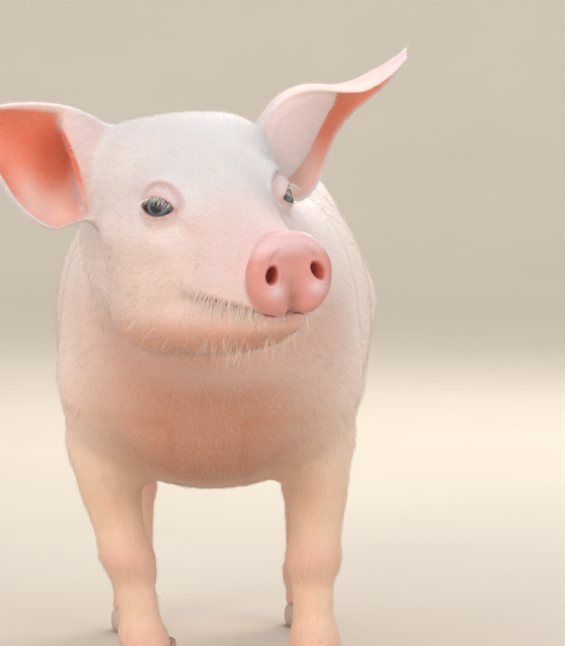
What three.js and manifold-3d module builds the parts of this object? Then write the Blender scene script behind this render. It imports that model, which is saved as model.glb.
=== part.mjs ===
// A young pig of about five weeks, standing still with its head turned to its left.
// Millimetres, +Z up. The pig faces -Y, its left side is +X, and its claws stand on z = 0.
// The flesh is one smooth field of blended forms, meshed piece by piece and parted with thin cuts.
import * as THREE from "three";
import { mergeVertices } from "three/addons/utils/BufferGeometryUtils.js";
import Module from "manifold-3d";

// ---- Driving dimensions ----
const GAP = 0.3; // between two nodes that meet
const WELD = 0.03; // vertices closer than this are one
const SIDES = { left: 1, right: -1 };

// The head's own frame: +X to the pig's left, -Y forward, +Z up, and z = 0 near the line of the mouth.
const HEAD_AT = [-27, -222, 237];
const HEAD_TURN = 28.5; // degrees towards the pig's left
const HEAD_LIFT = 1; // degrees that the snout is raised
const HEAD_TILT = 4; // degrees that the left side is raised
const HEAD_LENGTH = 157.5; // from the nape to the snout's disc
const NECK_LINE = { forward: 27, lean: 13 }; // the cut behind the head, at z = 0, and its lean in degrees

const SNOUT = { centre: 16.4, halfWidth: 23.3, halfHeight: 21.2, thick: 12, round: 5, lean: 3 };
const SNOUT_CUT = 21; // length of the snout node behind the disc's face
const NOSTRIL = { side: 13.4, height: 16.4, radii: [3.2, 13, 4.8], lean: -22, toe: 12, deep: 2 };
const MOUTH = { corner: [102, 5], line: [[112, 4], [126, 1], [138, -1.5], [144, -3]], slit: 0.9 };
const CHIN = 147; // the front of the lower jaw's node

const EYE = { radius: 10.5, at: [31, -80, 51], outward: 52, upward: 3 };
const LID = { thick: 2, halfWidth: 9.8, halfHeight: 5.4, points: 8 };

// Each ear points its own way from the same root. lift, sweep, roll and twist are in degrees, rise is what
// the tip bends up, and furl is how far the root's upper edge is turned down.
const EAR = { root: [40.5, -34, 64], length: 110, thick: 2.6, edge: 2.3, cutAt: 0.13, rim: 1.6 };
const EAR_POSES = {
  left: { lift: 22, sweep: -8, roll: 7, twist: 54, rise: 11, furl: 16 },
  right: { lift: 18, sweep: -2, roll: 0, twist: 0, rise: 0, furl: 0 },
};
// Along the ear: [share of its length, height of its upper edge, depth of its lower edge, depth of its cup].
const EAR_STATIONS = [
  [-0.1, 16, 15, 15],
  [0, 23, 18, 19],
  [0.115, 28.5, 23.5, 20],
  [0.214, 31, 29.8, 18],
  [0.32, 31.7, 28.5, 15],
  [0.445, 29.8, 21.8, 12],
  [0.555, 26.6, 11.5, 9.5],
  [0.66, 22.6, 1.5, 7.5],
  [0.764, 19.5, -2.5, 6],
  [0.864, 16.5, -4, 4],
  [0.955, 14.5, -4.5, 2],
  [1, 11.5, -6, 0.8],
];
// The flesh in front of an ear's root, which ends in a rim where the cup begins.
const EAR_WALL = {
  left: { middle: 12, half: 50, climb: 0.2 },
  right: { middle: 2, half: 32, climb: 0.45 },
  back: 1,
  deep: 10,
  up: 4,
  high: 25,
  round: 0.4,
};
const EAR_CUP = {
  left: { middle: 62.5, slant: 0.6 },
  right: { middle: 35.5, slant: 0.65 },
  back: 4,
  deep: 13,
  up: 2,
  high: 32,
  long: 22,
};

// How far each foot stands from its place in a square stance: towards the pig's left, and back.
const STEPS = { frontLeft: [4, -2], frontRight: [24, 4], hindLeft: [2, 10], hindRight: [0, -12] };
const STEP_TOP = 135; // a step leaves the leg above this where it is
const FRONT_FOOT = [56, -124]; // the claws' middle, in a square stance
const HIND_FOOT = [54, 153];
const CLAW = { width: 12.4, toe: 18, heel: 13, height: 19, heelHeight: 11, cleft: 1.2, splay: 4 };
const DEWCLAW = { radius: 4.2, length: 13, apart: 9.5, behind: 17, height: 33 };

const TAIL = { root: [0, 194, 262], thick: 5.4, tip: 1.8, coil: 15, turns: 1.3, back: 30, fall: 34 };
const TAIL_RINGS = 26;

const CELLS = { torso: 19, neck: 12.4, head: 7, leg: 10.4 };

// ---- Materials ----
const skin = new THREE.MeshStandardMaterial({ color: 0xeed3ca, roughness: 0.62, metalness: 0 });
const pinkSkin = new THREE.MeshStandardMaterial({ color: 0xe8a79e, roughness: 0.5, metalness: 0 });
const eyeGloss = new THREE.MeshStandardMaterial({ color: 0x3d4650, roughness: 0.08, metalness: 0 });
const horn = new THREE.MeshStandardMaterial({ color: 0xcbb09a, roughness: 0.45, metalness: 0 });

// ---- Fields ----
// A form is a function of x, y and z that gives about the distance to its surface, negative inside.
const clamp = THREE.MathUtils.clamp;
const radians = THREE.MathUtils.degToRad;
const smoothstep = THREE.MathUtils.smoothstep;

function smoothMin(a, b, blend) {
  const h = Math.max(blend - Math.abs(a - b), 0) / blend;
  return Math.min(a, b) - (h * h * blend) / 4;
}

// An ellipsoid. turn is in degrees about the lateral axis.
function ball([cx, cy, cz], [rx, ry, rz], blend, turn = 0) {
  const c = Math.cos(radians(turn));
  const s = Math.sin(radians(turn));
  const distance = (x, y, z) => {
    const dx = x - cx;
    const dy = c * (y - cy) + s * (z - cz);
    const dz = c * (z - cz) - s * (y - cy);
    const k0 = Math.hypot(dx / rx, dy / ry, dz / rz);
    const k1 = Math.hypot(dx / rx ** 2, dy / ry ** 2, dz / rz ** 2);
    return k1 < 1e-9 ? -Math.min(rx, ry, rz) : (k0 * (k0 - 1)) / k1;
  };
  return { distance, blend };
}

// A straight limb whose radius goes from ra at a to rb at b.
function limb(a, b, [ra, rb], blend) {
  const axis = b.map((v, i) => v - a[i]);
  const long = axis.reduce((sum, v) => sum + v * v, 0);
  const distance = (x, y, z) => {
    const p = [x - a[0], y - a[1], z - a[2]];
    const t = clamp((p[0] * axis[0] + p[1] * axis[1] + p[2] * axis[2]) / long, 0, 1);
    const away = Math.hypot(p[0] - t * axis[0], p[1] - t * axis[1], p[2] - t * axis[2]);
    return away - (ra + (rb - ra) * t);
  };
  return { distance, blend };
}

// A smooth curve through rows of numbers, read at the first number of a row.
function through(rows) {
  const slope = (i, k) => {
    const before = rows[Math.max(i - 1, 0)];
    const after = rows[Math.min(i + 1, rows.length - 1)];
    return (after[k] - before[k]) / (after[0] - before[0]);
  };
  return (at) => {
    const u = clamp(at, rows[0][0], rows.at(-1)[0]);
    const i = Math.max(rows.findIndex((row) => row[0] >= u) - 1, 0);
    const [a, b] = [rows[i], rows[i + 1]];
    const step = b[0] - a[0];
    const t = (u - a[0]) / step;
    const ends = [2 * t ** 3 - 3 * t ** 2 + 1, 3 * t ** 2 - 2 * t ** 3];
    const bends = [t ** 3 - 2 * t ** 2 + t, t ** 3 - t ** 2];
    return a.map((v, k) => {
      const bend = bends[0] * slope(i, k) + bends[1] * slope(i + 1, k);
      return ends[0] * v + ends[1] * b[k] + step * bend;
    });
  };
}

// A body along Y with its own top, underside and width at each station:
// [place along Y, top, underside, half the width, height of the widest place].
function barrel(stations, power, blend) {
  const section = through(stations);
  const [first, last] = [stations[0][0], stations.at(-1)[0]];
  const distance = (x, y, z) => {
    const [, top, under, half, wide] = section(y);
    const tall = z > wide ? top - wide : wide - under;
    const [a, b] = [Math.abs(x) / half, Math.abs(z - wide) / tall];
    const k0 = (a ** power + b ** power) ** (1 / power);
    const steep = Math.hypot(a ** (power - 1) / half, b ** (power - 1) / tall);
    const across = k0 < 1e-6 ? -Math.min(half, tall) : (k0 - 1) / (k0 ** (1 - power) * steep);
    const past = Math.max(first - y, y - last);
    return past > 0 ? Math.hypot(Math.max(across, 0), past) : across;
  };
  return { distance, blend };
}

// The first form, with each later one blended on to it.
const union = ([first, ...others]) => (x, y, z) =>
  others.reduce((d, form) => smoothMin(d, form.distance(x, y, z), form.blend), first.distance(x, y, z));

// ---- The flesh ----
const trunk = union([
  barrel(
    [
      [-165, 294, 152, 62, 226],
      [-120, 303, 130, 74, 218],
      [-75, 305, 116, 85, 212],
      [-20, 305, 111, 92, 210],
      [40, 303, 112, 93, 210],
      [85, 300, 118, 89, 212],
      [120, 298, 128, 81, 214],
      [150, 291, 146, 70, 218],
    ],
    2.15,
    30,
  ),
  ball([0, 152, 222], [67, 60, 76], 30),
  ball([0, -132, 208], [61, 56, 80], 30),
  ball([0, -160, 180], [36, 30, 38], 24),
]);

const frontLeg = union([
  ball([46, -112, 202], [31, 46, 72], 24, 12),
  limb([53, -126, 180], [58, -103, 150], [30, 22], 18),
  limb([62, -103, 144], [58, -112, 84], [18, 13.5], 10),
  ball([61, -106, 126], [14, 20, 28], 8),
  ball([56.5, -114, 79], [14.5, 15.5, 14], 8),
  limb([56, -113, 72], [56, -115, 36], [11.6, 11.2], 6),
  ball([56, -116, 33], [13.5, 14, 11], 8),
  limb([56, -119, 27], [56, -126, 14], [12, 12.5], 6),
]);

const hindLeg = union([
  ball([44, 134, 216], [38, 66, 80], 26, -12),
  limb([54, 120, 205], [59, 102, 162], [46, 30], 20),
  limb([55, 118, 162], [54, 168, 110], [34, 15], 16),
  limb([54, 171, 106], [54, 172, 90], [15, 13.5], 8),
  ball([54, 185, 110], [7, 8, 13], 10),
  limb([54, 171, 88], [54, 164, 38], [12.4, 11.4], 6),
  ball([54, 161, 33], [13.5, 14, 11], 8),
  limb([54, 158, 27], [54, 151, 14], [12, 12.5], 6),
]);

const neck = union([
  limb([0, -140, 226], [-20, -216, 272], [68, 46], 30),
  limb([0, -160, 200], [-18, -216, 244], [52, 34], 24),
]);

const cranium = union([
  barrel(
    [
      [-146, 37, 0, 18.5, 16],
      [-130, 42, -2, 21, 16],
      [-112, 51, -4, 26, 18],
      [-95, 64, -8, 32, 20],
      [-78, 81, -20, 40, 22],
      [-60, 93, -27, 46, 25],
      [-42, 97, -27, 45, 29],
      [-20, 92, -20, 39, 34],
      [10, 77, -2, 31, 38],
    ],
    2.1,
    10,
  ),
  ball([21, -38, -4], [20, 28, 23], 12),
  ball([29, -73, 64], [10, 14, 8], 10),
  ball([34, -34, 64], [17, 16, 25], 14),
  ball([23, -42, 69], [25, 22, 24], 14),
  limb([35, -80, 34], [43, -50, 40], [7, 9], 12),
  limb([11, -144, 7], [25, -104, 10], [8, 9], 8),
]);

const jaw = union([
  barrel(
    [
      [-143, -3, -13, 8, -8],
      [-134, -1, -18, 15, -9],
      [-120, 1, -22, 21, -9],
      [-100, 4, -26, 28, -9],
      [-80, 8, -28, 35, -7],
      [-50, 10, -28, 40, -6],
    ],
    2,
    8,
  ),
  limb([7, -137, -7], [20, -104, -6], [5, 8], 6),
]);

// The snout's disc: a rounded superellipse, leaning forward at its top.
function disc(x, y, z) {
  const { centre, halfWidth, halfHeight, thick, round, lean } = SNOUT;
  const tilt = Math.tan(radians(lean));
  const forward = -y - (HEAD_LENGTH - thick / 2) - (z - centre) * tilt;
  const [a, b] = [Math.abs(x) / halfWidth, Math.abs(z - centre) / halfHeight];
  const k0 = (a ** 2.4 + b ** 2.4) ** (1 / 2.4);
  const across = k0 < 1e-6 ? -halfHeight : Math.hypot(x, z - centre) * (1 - 1 / k0);
  const [qa, qf] = [across + round, Math.abs(forward) - thick / 2 + round];
  return Math.min(Math.max(qa, qf), 0) + Math.hypot(Math.max(qa, 0), Math.max(qf, 0)) - round;
}

const headMatrix = new THREE.Matrix4()
  .makeRotationFromEuler(
    new THREE.Euler(radians(-HEAD_LIFT), radians(-HEAD_TILT), radians(HEAD_TURN), "ZXY"),
  )
  .setPosition(...HEAD_AT);
const headInverse = headMatrix.clone().invert();

const LEGS = {
  front_left: { form: frontLeg, side: 1, step: STEPS.frontLeft, foot: FRONT_FOOT },
  front_right: { form: frontLeg, side: -1, step: STEPS.frontRight, foot: FRONT_FOOT },
  hind_left: { form: hindLeg, side: 1, step: STEPS.hindLeft, foot: HIND_FOOT },
  hind_right: { form: hindLeg, side: -1, step: STEPS.hindRight, foot: HIND_FOOT },
};

function skull(x, y, z) {
  const upper = smoothMin(cranium(Math.abs(x), y, z), disc(x, y, z), 6);
  return smoothMin(upper, jaw(Math.abs(x), y, z), 5);
}

// The whole pig's flesh, as a field in the body's frame.
function flesh(x, y, z) {
  const inHead = new THREE.Vector3(x, y, z).applyMatrix4(headInverse);
  let d = smoothMin(trunk(x, y, z), neck(x, y, z), 30);
  d = smoothMin(d, skull(inHead.x, inHead.y, inHead.z), 18);
  for (const { form, side, step } of Object.values(LEGS)) {
    const share = clamp(1 - z / STEP_TOP, 0, 1);
    d = smoothMin(d, form((x - step[0] * share) * side, y - step[1] * share, z), 22);
  }
  return d;
}
const fleshOfHead = (x, y, z) => flesh(...new THREE.Vector3(x, y, z).applyMatrix4(headMatrix).toArray());

// ---- Meshing ----
// Where two opposite corners of a cell's face are inside and the other two outside, the surface would
// touch itself along an edge. The nearer of the outside corners is put inside.
function fillPinches(values, count) {
  const steps = [1, count[0], count[0] * count[1]];
  for (let found = true; found; ) {
    found = false;
    for (const [u, v] of [[0, 1], [1, 2], [2, 0]])
      for (let at = 0; at + steps[u] + steps[v] < values.length; at++) {
        const ring = [at, at + steps[u], at + steps[u] + steps[v], at + steps[v]];
        const [a, b, c, d] = ring.map((n) => values[n] < 0);
        if (a !== c || b !== d || a === b) continue;
        const outside = a ? [ring[1], ring[3]] : [ring[0], ring[2]];
        outside.sort((m, n) => values[m] - values[n]);
        values[outside[0]] = -1e-3;
        found = true;
      }
  }
}

// A closed mesh of a field inside a box, by surface nets: one vertex in each cell that the surface
// crosses, moved on to the surface, and one quad for each crossed edge.
function fieldGeometry(field, low, high, cell) {
  const count = low.map((v, i) => Math.ceil((high[i] - v) / cell) + 3);
  const at = (i, axis) => low[axis] + (i - 1) * cell;
  const index = (i, j, k) => (k * count[1] + j) * count[0] + i;
  const inBox = (x, y, z) =>
    Math.max(...[x, y, z].map((v, i) => Math.max(low[i] - v, v - high[i])));
  const closed = (x, y, z) => Math.max(field(x, y, z), inBox(x, y, z));
  const values = new Float32Array(count[0] * count[1] * count[2]);
  for (let k = 0; k < count[2]; k++)
    for (let j = 0; j < count[1]; j++)
      for (let i = 0; i < count[0]; i++) values[index(i, j, k)] = closed(at(i, 0), at(j, 1), at(k, 2));
  fillPinches(values, count);

  const positions = [];
  const vertexOf = new Map();
  const corners = [0, 1, 2, 3, 4, 5, 6, 7].map((c) => [c & 1, (c >> 1) & 1, c >> 2]);
  const settle = (point) => {
    for (let step = 0; step < 3; step++) {
      const h = cell * 0.05;
      const slope = [0, 1, 2].map((axis) => {
        const [ahead, back] = [point.slice(), point.slice()];
        ahead[axis] += h;
        back[axis] -= h;
        return (closed(...ahead) - closed(...back)) / (2 * h);
      });
      const steep = slope.reduce((sum, v) => sum + v * v, 0);
      const d = closed(...point);
      if (steep > 0.05) point.forEach((v, axis) => (point[axis] = v - (0.8 * d * slope[axis]) / steep));
    }
    return point;
  };
  const vertex = (i, j, k) => {
    const key = index(i, j, k);
    if (vertexOf.has(key)) return vertexOf.get(key);
    const sum = [0, 0, 0];
    let crossings = 0;
    for (const a of corners)
      for (let axis = 0; axis < 3; axis++) {
        if (a[axis]) continue;
        const b = a.map((v, n) => (n === axis ? 1 : v));
        const [va, vb] = [a, b].map((c) => values[index(i + c[0], j + c[1], k + c[2])]);
        if (va < 0 === vb < 0) continue;
        const t = va / (va - vb);
        a.forEach((v, n) => (sum[n] += v + (b[n] - v) * t));
        crossings++;
      }
    const cellAt = [at(i, 0), at(j, 1), at(k, 2)];
    const start = sum.map((v, n) => cellAt[n] + (v / crossings) * cell);
    const settled = settle(start.slice());
    const kept = settled.map((v, n) => clamp(v, cellAt[n] - cell * 0.2, cellAt[n] + cell * 1.2));
    positions.push(...kept);
    vertexOf.set(key, positions.length / 3 - 1);
    return positions.length / 3 - 1;
  };

  const faces = [];
  for (let k = 1; k < count[2]; k++)
    for (let j = 1; j < count[1]; j++)
      for (let i = 1; i < count[0]; i++)
        for (let axis = 0; axis < 3; axis++) {
          const step = [0, 0, 0];
          step[axis] = 1;
          if (i + step[0] >= count[0] || j + step[1] >= count[1] || k + step[2] >= count[2]) continue;
          const inside = values[index(i, j, k)] < 0;
          if (inside === values[index(i + step[0], j + step[1], k + step[2])] < 0) continue;
          const [u, v] = [(axis + 1) % 3, (axis + 2) % 3];
          const ring = [[0, 0], [-1, 0], [-1, -1], [0, -1]].map(([du, dv]) => {
            const c = [i, j, k];
            c[u] += du;
            c[v] += dv;
            return vertex(...c);
          });
          if (!inside) ring.reverse();
          const place = (a) => positions.slice(3 * ring[a], 3 * ring[a] + 3);
          const far = (a, b) => Math.hypot(...place(a).map((v, n) => v - place(b)[n]));
          const split = far(0, 2) <= far(1, 3) ? [0, 1, 2, 0, 2, 3] : [1, 2, 3, 1, 3, 0];
          faces.push(...split.map((n) => ring[n]));
        }
  return new THREE.BufferGeometry()
    .setAttribute("position", new THREE.Float32BufferAttribute(positions, 3))
    .setIndex(faces);
}

// A closed mesh from rings of points, all of one length, with a flat cap at each end.
function ringGeometry(rings) {
  const sides = rings[0].length;
  const positions = rings.flat(2);
  const faces = [];
  for (let r = 0; r + 1 < rings.length; r++)
    for (let s = 0; s < sides; s++) {
      const [a, b] = [r * sides + s, r * sides + ((s + 1) % sides)];
      faces.push(a, b, b + sides, a, b + sides, a + sides);
    }
  const last = (rings.length - 1) * sides;
  for (let s = 1; s + 1 < sides; s++) faces.push(0, s + 1, s, last, last + s, last + s + 1);
  return new THREE.BufferGeometry()
    .setAttribute("position", new THREE.Float32BufferAttribute(positions, 3))
    .setIndex(faces);
}

// ---- Solids ----
const wasm = await Module();
wasm.setup();

function manifoldOf(geometry, faces) {
  const vertProperties = new Float32Array(geometry.attributes.position.array);
  return new wasm.Manifold(new wasm.Mesh({ numProp: 3, vertProperties, triVerts: new Uint32Array(faces) }));
}

// A solid from a closed geometry, turned inside out where its faces look inward.
function solidOf(geometry) {
  const bare = new THREE.BufferGeometry().setAttribute("position", geometry.getAttribute("position"));
  if (geometry.index) bare.setIndex(geometry.index);
  const merged = mergeVertices(bare, 1e-3);
  const made = manifoldOf(merged, merged.index.array);
  if (made.volume() > 0) return made;
  return manifoldOf(merged, merged.index.array.toReversed());
}

// The largest closed body of a solid, as a geometry, without the slivers that cuts leave.
function geometryOf(solid) {
  const largest = solid.decompose().reduce((a, b) => (b.volume() > a.volume() ? b : a));
  const { numProp, numVert, vertProperties, triVerts } = largest.getMesh();
  const positions = new Float32Array(numVert * 3);
  for (let i = 0; i < numVert; i++)
    positions.set(vertProperties.subarray(i * numProp, i * numProp + 3), i * 3);
  const geometry = new THREE.BufferGeometry()
    .setAttribute("position", new THREE.BufferAttribute(positions, 3))
    .setIndex(new THREE.BufferAttribute(new Uint32Array(triVerts), 1));
  const welded = mergeVertices(geometry, WELD);
  const kept = [];
  for (let i = 0; i < welded.index.count; i += 3) {
    const face = [0, 1, 2].map((n) => welded.index.array[i + n]);
    if (new Set(face).size === 3) kept.push(...face);
  }
  welded.setIndex(kept);
  welded.computeVertexNormals();
  return welded;
}

const boxSolid = (low, high) => {
  const size = high.map((v, i) => v - low[i]);
  return solidOf(new THREE.BoxGeometry(...size).translate(...low.map((v, i) => v + size[i] / 2)));
};

// What is left of a solid behind another that it grows from.
const clearOf = (solid, root) => solid.subtract(root).subtract(root.translate([0, GAP, 0]));

const pig = new THREE.Group();
const head = new THREE.Group();
head.applyMatrix4(headMatrix);
pig.add(head);

function addNode(name, solid, material, parent = pig) {
  const mesh = new THREE.Mesh(geometryOf(solid), material);
  mesh.name = name;
  parent.add(mesh);
}

// Carries a shape's own x, y and depth to these three directions.
const toAxes = (...axes) => new THREE.Matrix4().makeBasis(...axes.map((axis) => new THREE.Vector3(...axis)));

// ---- Trunk, neck and legs ----
const FAR = 400;
const NECK_CUT = -168; // y of the cut between neck and torso

// What belongs to one leg: a prism with a round top, whose inner side leans out from the belly.
function legCutter({ side, foot }, grow) {
  const [y, z, radius] = foot === FRONT_FOOT ? [-110, 190, 54] : [138, 206, 70];
  const [root, lean] = [29, 14];
  const shape = new THREE.Shape();
  shape.moveTo(y + radius + grow, -20);
  shape.lineTo(y + radius + grow, z);
  shape.absarc(y, z, radius + grow, 0, Math.PI, false);
  shape.lineTo(y - radius - grow, -20);
  const prism = new THREE.ExtrudeGeometry(shape, { depth: 120, bevelEnabled: false, curveSegments: 18 });
  prism.applyMatrix4(toAxes([0, 1, 0], [0, 0, 1], [1, 0, 0]));
  prism.translate(0, 0, -115);
  prism.rotateY(radians(lean));
  prism.translate(root - grow, 0, 115);
  prism.scale(side, 1, 1);
  return solidOf(prism);
}

function addTorso() {
  let torso = solidOf(fieldGeometry(flesh, [-104, NECK_CUT - 12, 90], [104, 215, 318], CELLS.torso));
  torso = torso.intersect(boxSolid([-FAR, NECK_CUT + GAP / 2, -FAR], [FAR, FAR, FAR]));
  for (const leg of Object.values(LEGS)) torso = torso.subtract(legCutter(leg, GAP));
  addNode("torso", torso, skin);
  return torso;
}

// The claws' middle on the floor, for one leg.
const footOf = ({ side, step, foot }) => [foot[0] * side + step[0], foot[1] + step[1]];

// All below the line where skin meets horn, which falls from the toe to the heel.
function belowCoronet([x, y], grow) {
  const { toe, heel, height, heelHeight } = CLAW;
  const fall = (height - heelHeight) / (toe + heel);
  const shape = new THREE.Shape();
  shape.moveTo(-60, height + (60 - toe) * fall + grow);
  shape.lineTo(60, heelHeight - (60 - heel) * fall + grow);
  shape.lineTo(60, -60);
  shape.lineTo(-60, -60);
  const wedge = new THREE.ExtrudeGeometry(shape, { depth: 80, bevelEnabled: false });
  wedge.applyMatrix4(toAxes([0, 1, 0], [0, 0, 1], [1, 0, 0]));
  return solidOf(wedge.translate(x - 40, y, 0));
}

// One of the two horn claws of a foot, flat underneath. Its own x grows away from the cleft.
function mainClaw([x, y], outward) {
  const { width, toe, heel, height, heelHeight, cleft, splay } = CLAW;
  const section = [[0, 0], [0.84, 0], [1, 0.16], [1, 0.6], [0.86, 1], [0, 1]];
  const rings = [
    [-toe, 0.32, 0.2],
    [-toe * 0.82, 0.6, 0.46],
    [-toe * 0.4, 0.92, 0.9],
    [heel * 0.2, 1, 1],
    [heel * 0.75, 0.92, 1],
    [heel, 0.62, 0.8],
  ].map(([along, wide, tall]) => {
    const top = tall * (height + ((heelHeight - height) * (along + toe)) / (toe + heel));
    const across = width * wide;
    return section.map(([w, h]) => [w * across, along, h * top]);
  });
  const claw = ringGeometry(rings).rotateZ(radians(splay));
  claw.translate(cleft / 2 + heel * Math.sin(radians(splay)), 0, 0);
  return solidOf(claw.scale(outward, 1, 1).translate(x, y, 0));
}

// A small hanging claw behind the foot.
function dewclaw([x, y], outward) {
  const { radius, length, apart, behind, height } = DEWCLAW;
  const profile = [[0, 0], [0.5, 0.08], [0.9, 0.4], [1, 1], [0, 1]];
  const points = profile.map(([r, h]) => new THREE.Vector2(r * radius, h * length));
  const horn = new THREE.LatheGeometry(points, 8);
  horn.rotateX(radians(90 - 30)).rotateZ(radians(180 - outward * 14));
  return solidOf(horn.translate(x + outward * apart, y + behind, height - length));
}

function addLegs() {
  for (const [name, leg] of Object.entries(LEGS)) {
    const middle = leg.foot === FRONT_FOOT ? -112 : 138;
    const [near, far] = leg.side > 0 ? [16, 116] : [-116, -16];
    const region = fieldGeometry(flesh, [near, middle - 84, -6], [far, middle + 84, 286], CELLS.leg);
    const foot = footOf(leg);
    const solid = solidOf(region).intersect(legCutter(leg, 0)).subtract(belowCoronet(foot, GAP));
    for (const [place, outward] of [["outer", leg.side], ["inner", -leg.side]]) {
      addNode("claw_" + place + "_" + name, mainClaw(foot, outward), horn);
      addNode("dewclaw_" + place + "_" + name, clearOf(dewclaw(foot, outward), solid), horn);
    }
    addNode("leg_" + name, solid, skin);
  }
}

// ---- Head ----
// All forward of the cut behind the ears and the jaw.
function aheadOfNeck(gap) {
  const block = new THREE.BoxGeometry(FAR, FAR, FAR).translate(0, -FAR / 2 - gap, 0);
  return block.rotateX(radians(-NECK_LINE.lean)).translate(0, -NECK_LINE.forward, 0);
}

// Carries an ear's own frame, +X along it and -Y out of its cup, to the left side of the head.
const earMatrix = ({ lift, sweep }) =>
  new THREE.Matrix4()
    .makeRotationFromEuler(new THREE.Euler(0, radians(-lift), radians(sweep), "ZYX"))
    .setPosition(...EAR.root);

// A point of the ear before it is twisted and its tip bent up, in the ear's own frame.
function earPoint({ roll, twist, rise }, along, back, up) {
  const share = along / EAR.length;
  const turn = radians(roll + twist * smoothstep(share, 0.2, 0.7));
  const [sin, cos] = [Math.sin(turn), Math.cos(turn)];
  return [along, back * cos - up * sin, back * sin + up * cos + rise * Math.max(share, 0) ** 6];
}

const upperEdge = ({ furl }, share, upper) => upper - furl * (1 - smoothstep(share, 0, 0.5));

// The ear's sheet, curved round its cup.
function earSheet(pose) {
  const across = 8;
  const rings = EAR_STATIONS.map(([share, upper, lower, deep]) => {
    const thick = EAR.edge + (EAR.thick - EAR.edge) * clamp(1.1 - share, 0, 1);
    const top = upperEdge(pose, share, upper);
    const row = (back) =>
      Array.from({ length: across + 1 }, (_, n) => {
        const v = n / across;
        const off = Math.abs(2 * v - 1);
        const rim = EAR.rim * Math.exp(-((v / 0.12) ** 2)) * clamp(share * 4, 0, 1);
        const sheet = deep * (1 - off ** 2.4) - rim + (back ? thick * (0.8 + 0.2 * (1 - off ** 4)) : 0);
        return earPoint(pose, share * EAR.length, sheet, top - (top + lower) * v);
      });
    return [...row(false), ...row(true).reverse()];
  });
  return solidOf(ringGeometry(rings));
}

// A ball whose points, of length 1 from its middle, are carried elsewhere by a function.
function carriedBall(carry) {
  const geometry = new THREE.SphereGeometry(1, 14, 8);
  const points = geometry.getAttribute("position");
  for (let i = 0; i < points.count; i++)
    points.setXYZ(i, ...carry(points.getX(i), points.getY(i), points.getZ(i)));
  return solidOf(geometry);
}

const upperAt = through(EAR_STATIONS);

// The front of an ear's root, which bulges past the cup and ends in a rim that leans outward at its top.
function earWall(name) {
  const pose = EAR_POSES[name];
  const { middle, half, climb } = EAR_WALL[name];
  const bulge = carriedBall((x, y, z) => {
    const along = middle + half * x;
    const back = EAR_WALL.back + EAR_WALL.deep * y;
    const share = along / EAR.length;
    const top = upperEdge(pose, share, upperAt(share)[1]) - EAR_WALL.round * Math.abs(back);
    return earPoint(pose, along, back, Math.min(EAR_WALL.up + EAR_WALL.high * z + climb * along, top));
  });
  const hollow = carriedBall((x, y, z) => {
    const up = EAR_CUP.up + EAR_CUP.high * z;
    const along = EAR_CUP[name].middle + EAR_CUP.long * x + EAR_CUP[name].slant * up;
    return earPoint(pose, along, EAR_CUP.back + EAR_CUP.deep * y, up);
  });
  return bulge.subtract(hollow);
}

// A whole ear in the head's frame, for the left side.
function earSolid(name) {
  const ear = earSheet(EAR_POSES[name]).add(earWall(name));
  return ear.transform(earMatrix(EAR_POSES[name]).toArray());
}

// The space that holds an ear outside its root.
function earSpace(pose, grow) {
  const box = new THREE.BoxGeometry(120, 90, 100).translate(60 + EAR.length * EAR.cutAt - grow, 4, -4);
  return solidOf(box.applyMatrix4(earMatrix(pose)));
}

const mirrored = (solid, side) => (side > 0 ? solid : solid.scale([-1, 1, 1]));

const eyeAt = (side) => [EYE.at[0] * side, EYE.at[1], EYE.at[2]];
const ballSolid = (radius, at, around, down) =>
  solidOf(new THREE.SphereGeometry(radius, around, down).rotateX(Math.PI / 2).translate(...at));

// The opening between the lids, pushed outward from the eye's middle.
function eyeOpening(side) {
  const { halfWidth, halfHeight, points } = LID;
  const shape = new THREE.Shape();
  shape.moveTo(-halfWidth, -1.2);
  shape.quadraticCurveTo(-halfWidth * 0.2, halfHeight * 2.1, halfWidth, 0);
  shape.quadraticCurveTo(0, -halfHeight * 1.7, -halfWidth, -1.2);
  const options = { depth: 30, bevelEnabled: false, curveSegments: points };
  const prism = new THREE.ExtrudeGeometry(shape, options);
  prism.applyMatrix4(toAxes([1, 0, 0], [0, 0, 1], [0, -1, 0]));
  prism.rotateX(radians(-EYE.upward)).rotateZ(radians(EYE.outward * side));
  return solidOf(prism.translate(...eyeAt(side)));
}

function nostril(side) {
  const { height, radii, lean, toe, deep } = NOSTRIL;
  const hole = new THREE.SphereGeometry(1, 14, 10).scale(...radii);
  hole.rotateY(radians(-lean * side)).rotateZ(radians(toe * side));
  return solidOf(hole.translate(NOSTRIL.side * side, -HEAD_LENGTH - deep, height));
}

// What lies below the line of the mouth and behind the snout's disc, forward of the mouth's corner.
function jawSpace(grow) {
  const raised = grow ? MOUTH.slit : 0;
  const [cornerForward, cornerHeight] = MOUTH.corner;
  const shape = new THREE.Shape();
  shape.moveTo(cornerForward - grow, cornerHeight + raised / 2);
  for (const [forward, height] of MOUTH.line) shape.lineTo(forward, height + raised);
  shape.lineTo(CHIN + grow, -8);
  shape.lineTo(CHIN + grow, -60);
  shape.lineTo(cornerForward - 12 - grow, -60);
  const prism = new THREE.ExtrudeGeometry(shape, { depth: 120, bevelEnabled: false });
  return solidOf(prism.applyMatrix4(toAxes([0, -1, 0], [0, 0, 1], [-1, 0, 0])).translate(60, 0, 0));
}

function addNeck() {
  const region = solidOf(fieldGeometry(flesh, [-100, -300, 120], [90, NECK_CUT + 8, 350], CELLS.neck));
  const ahead = solidOf(aheadOfNeck(-GAP / 2).applyMatrix4(headMatrix));
  const beforeTorso = boxSolid([-FAR, -FAR, -FAR], [FAR, NECK_CUT - GAP / 2, FAR]);
  addNode("neck", region.subtract(ahead).intersect(beforeTorso), skin);
}

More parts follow.
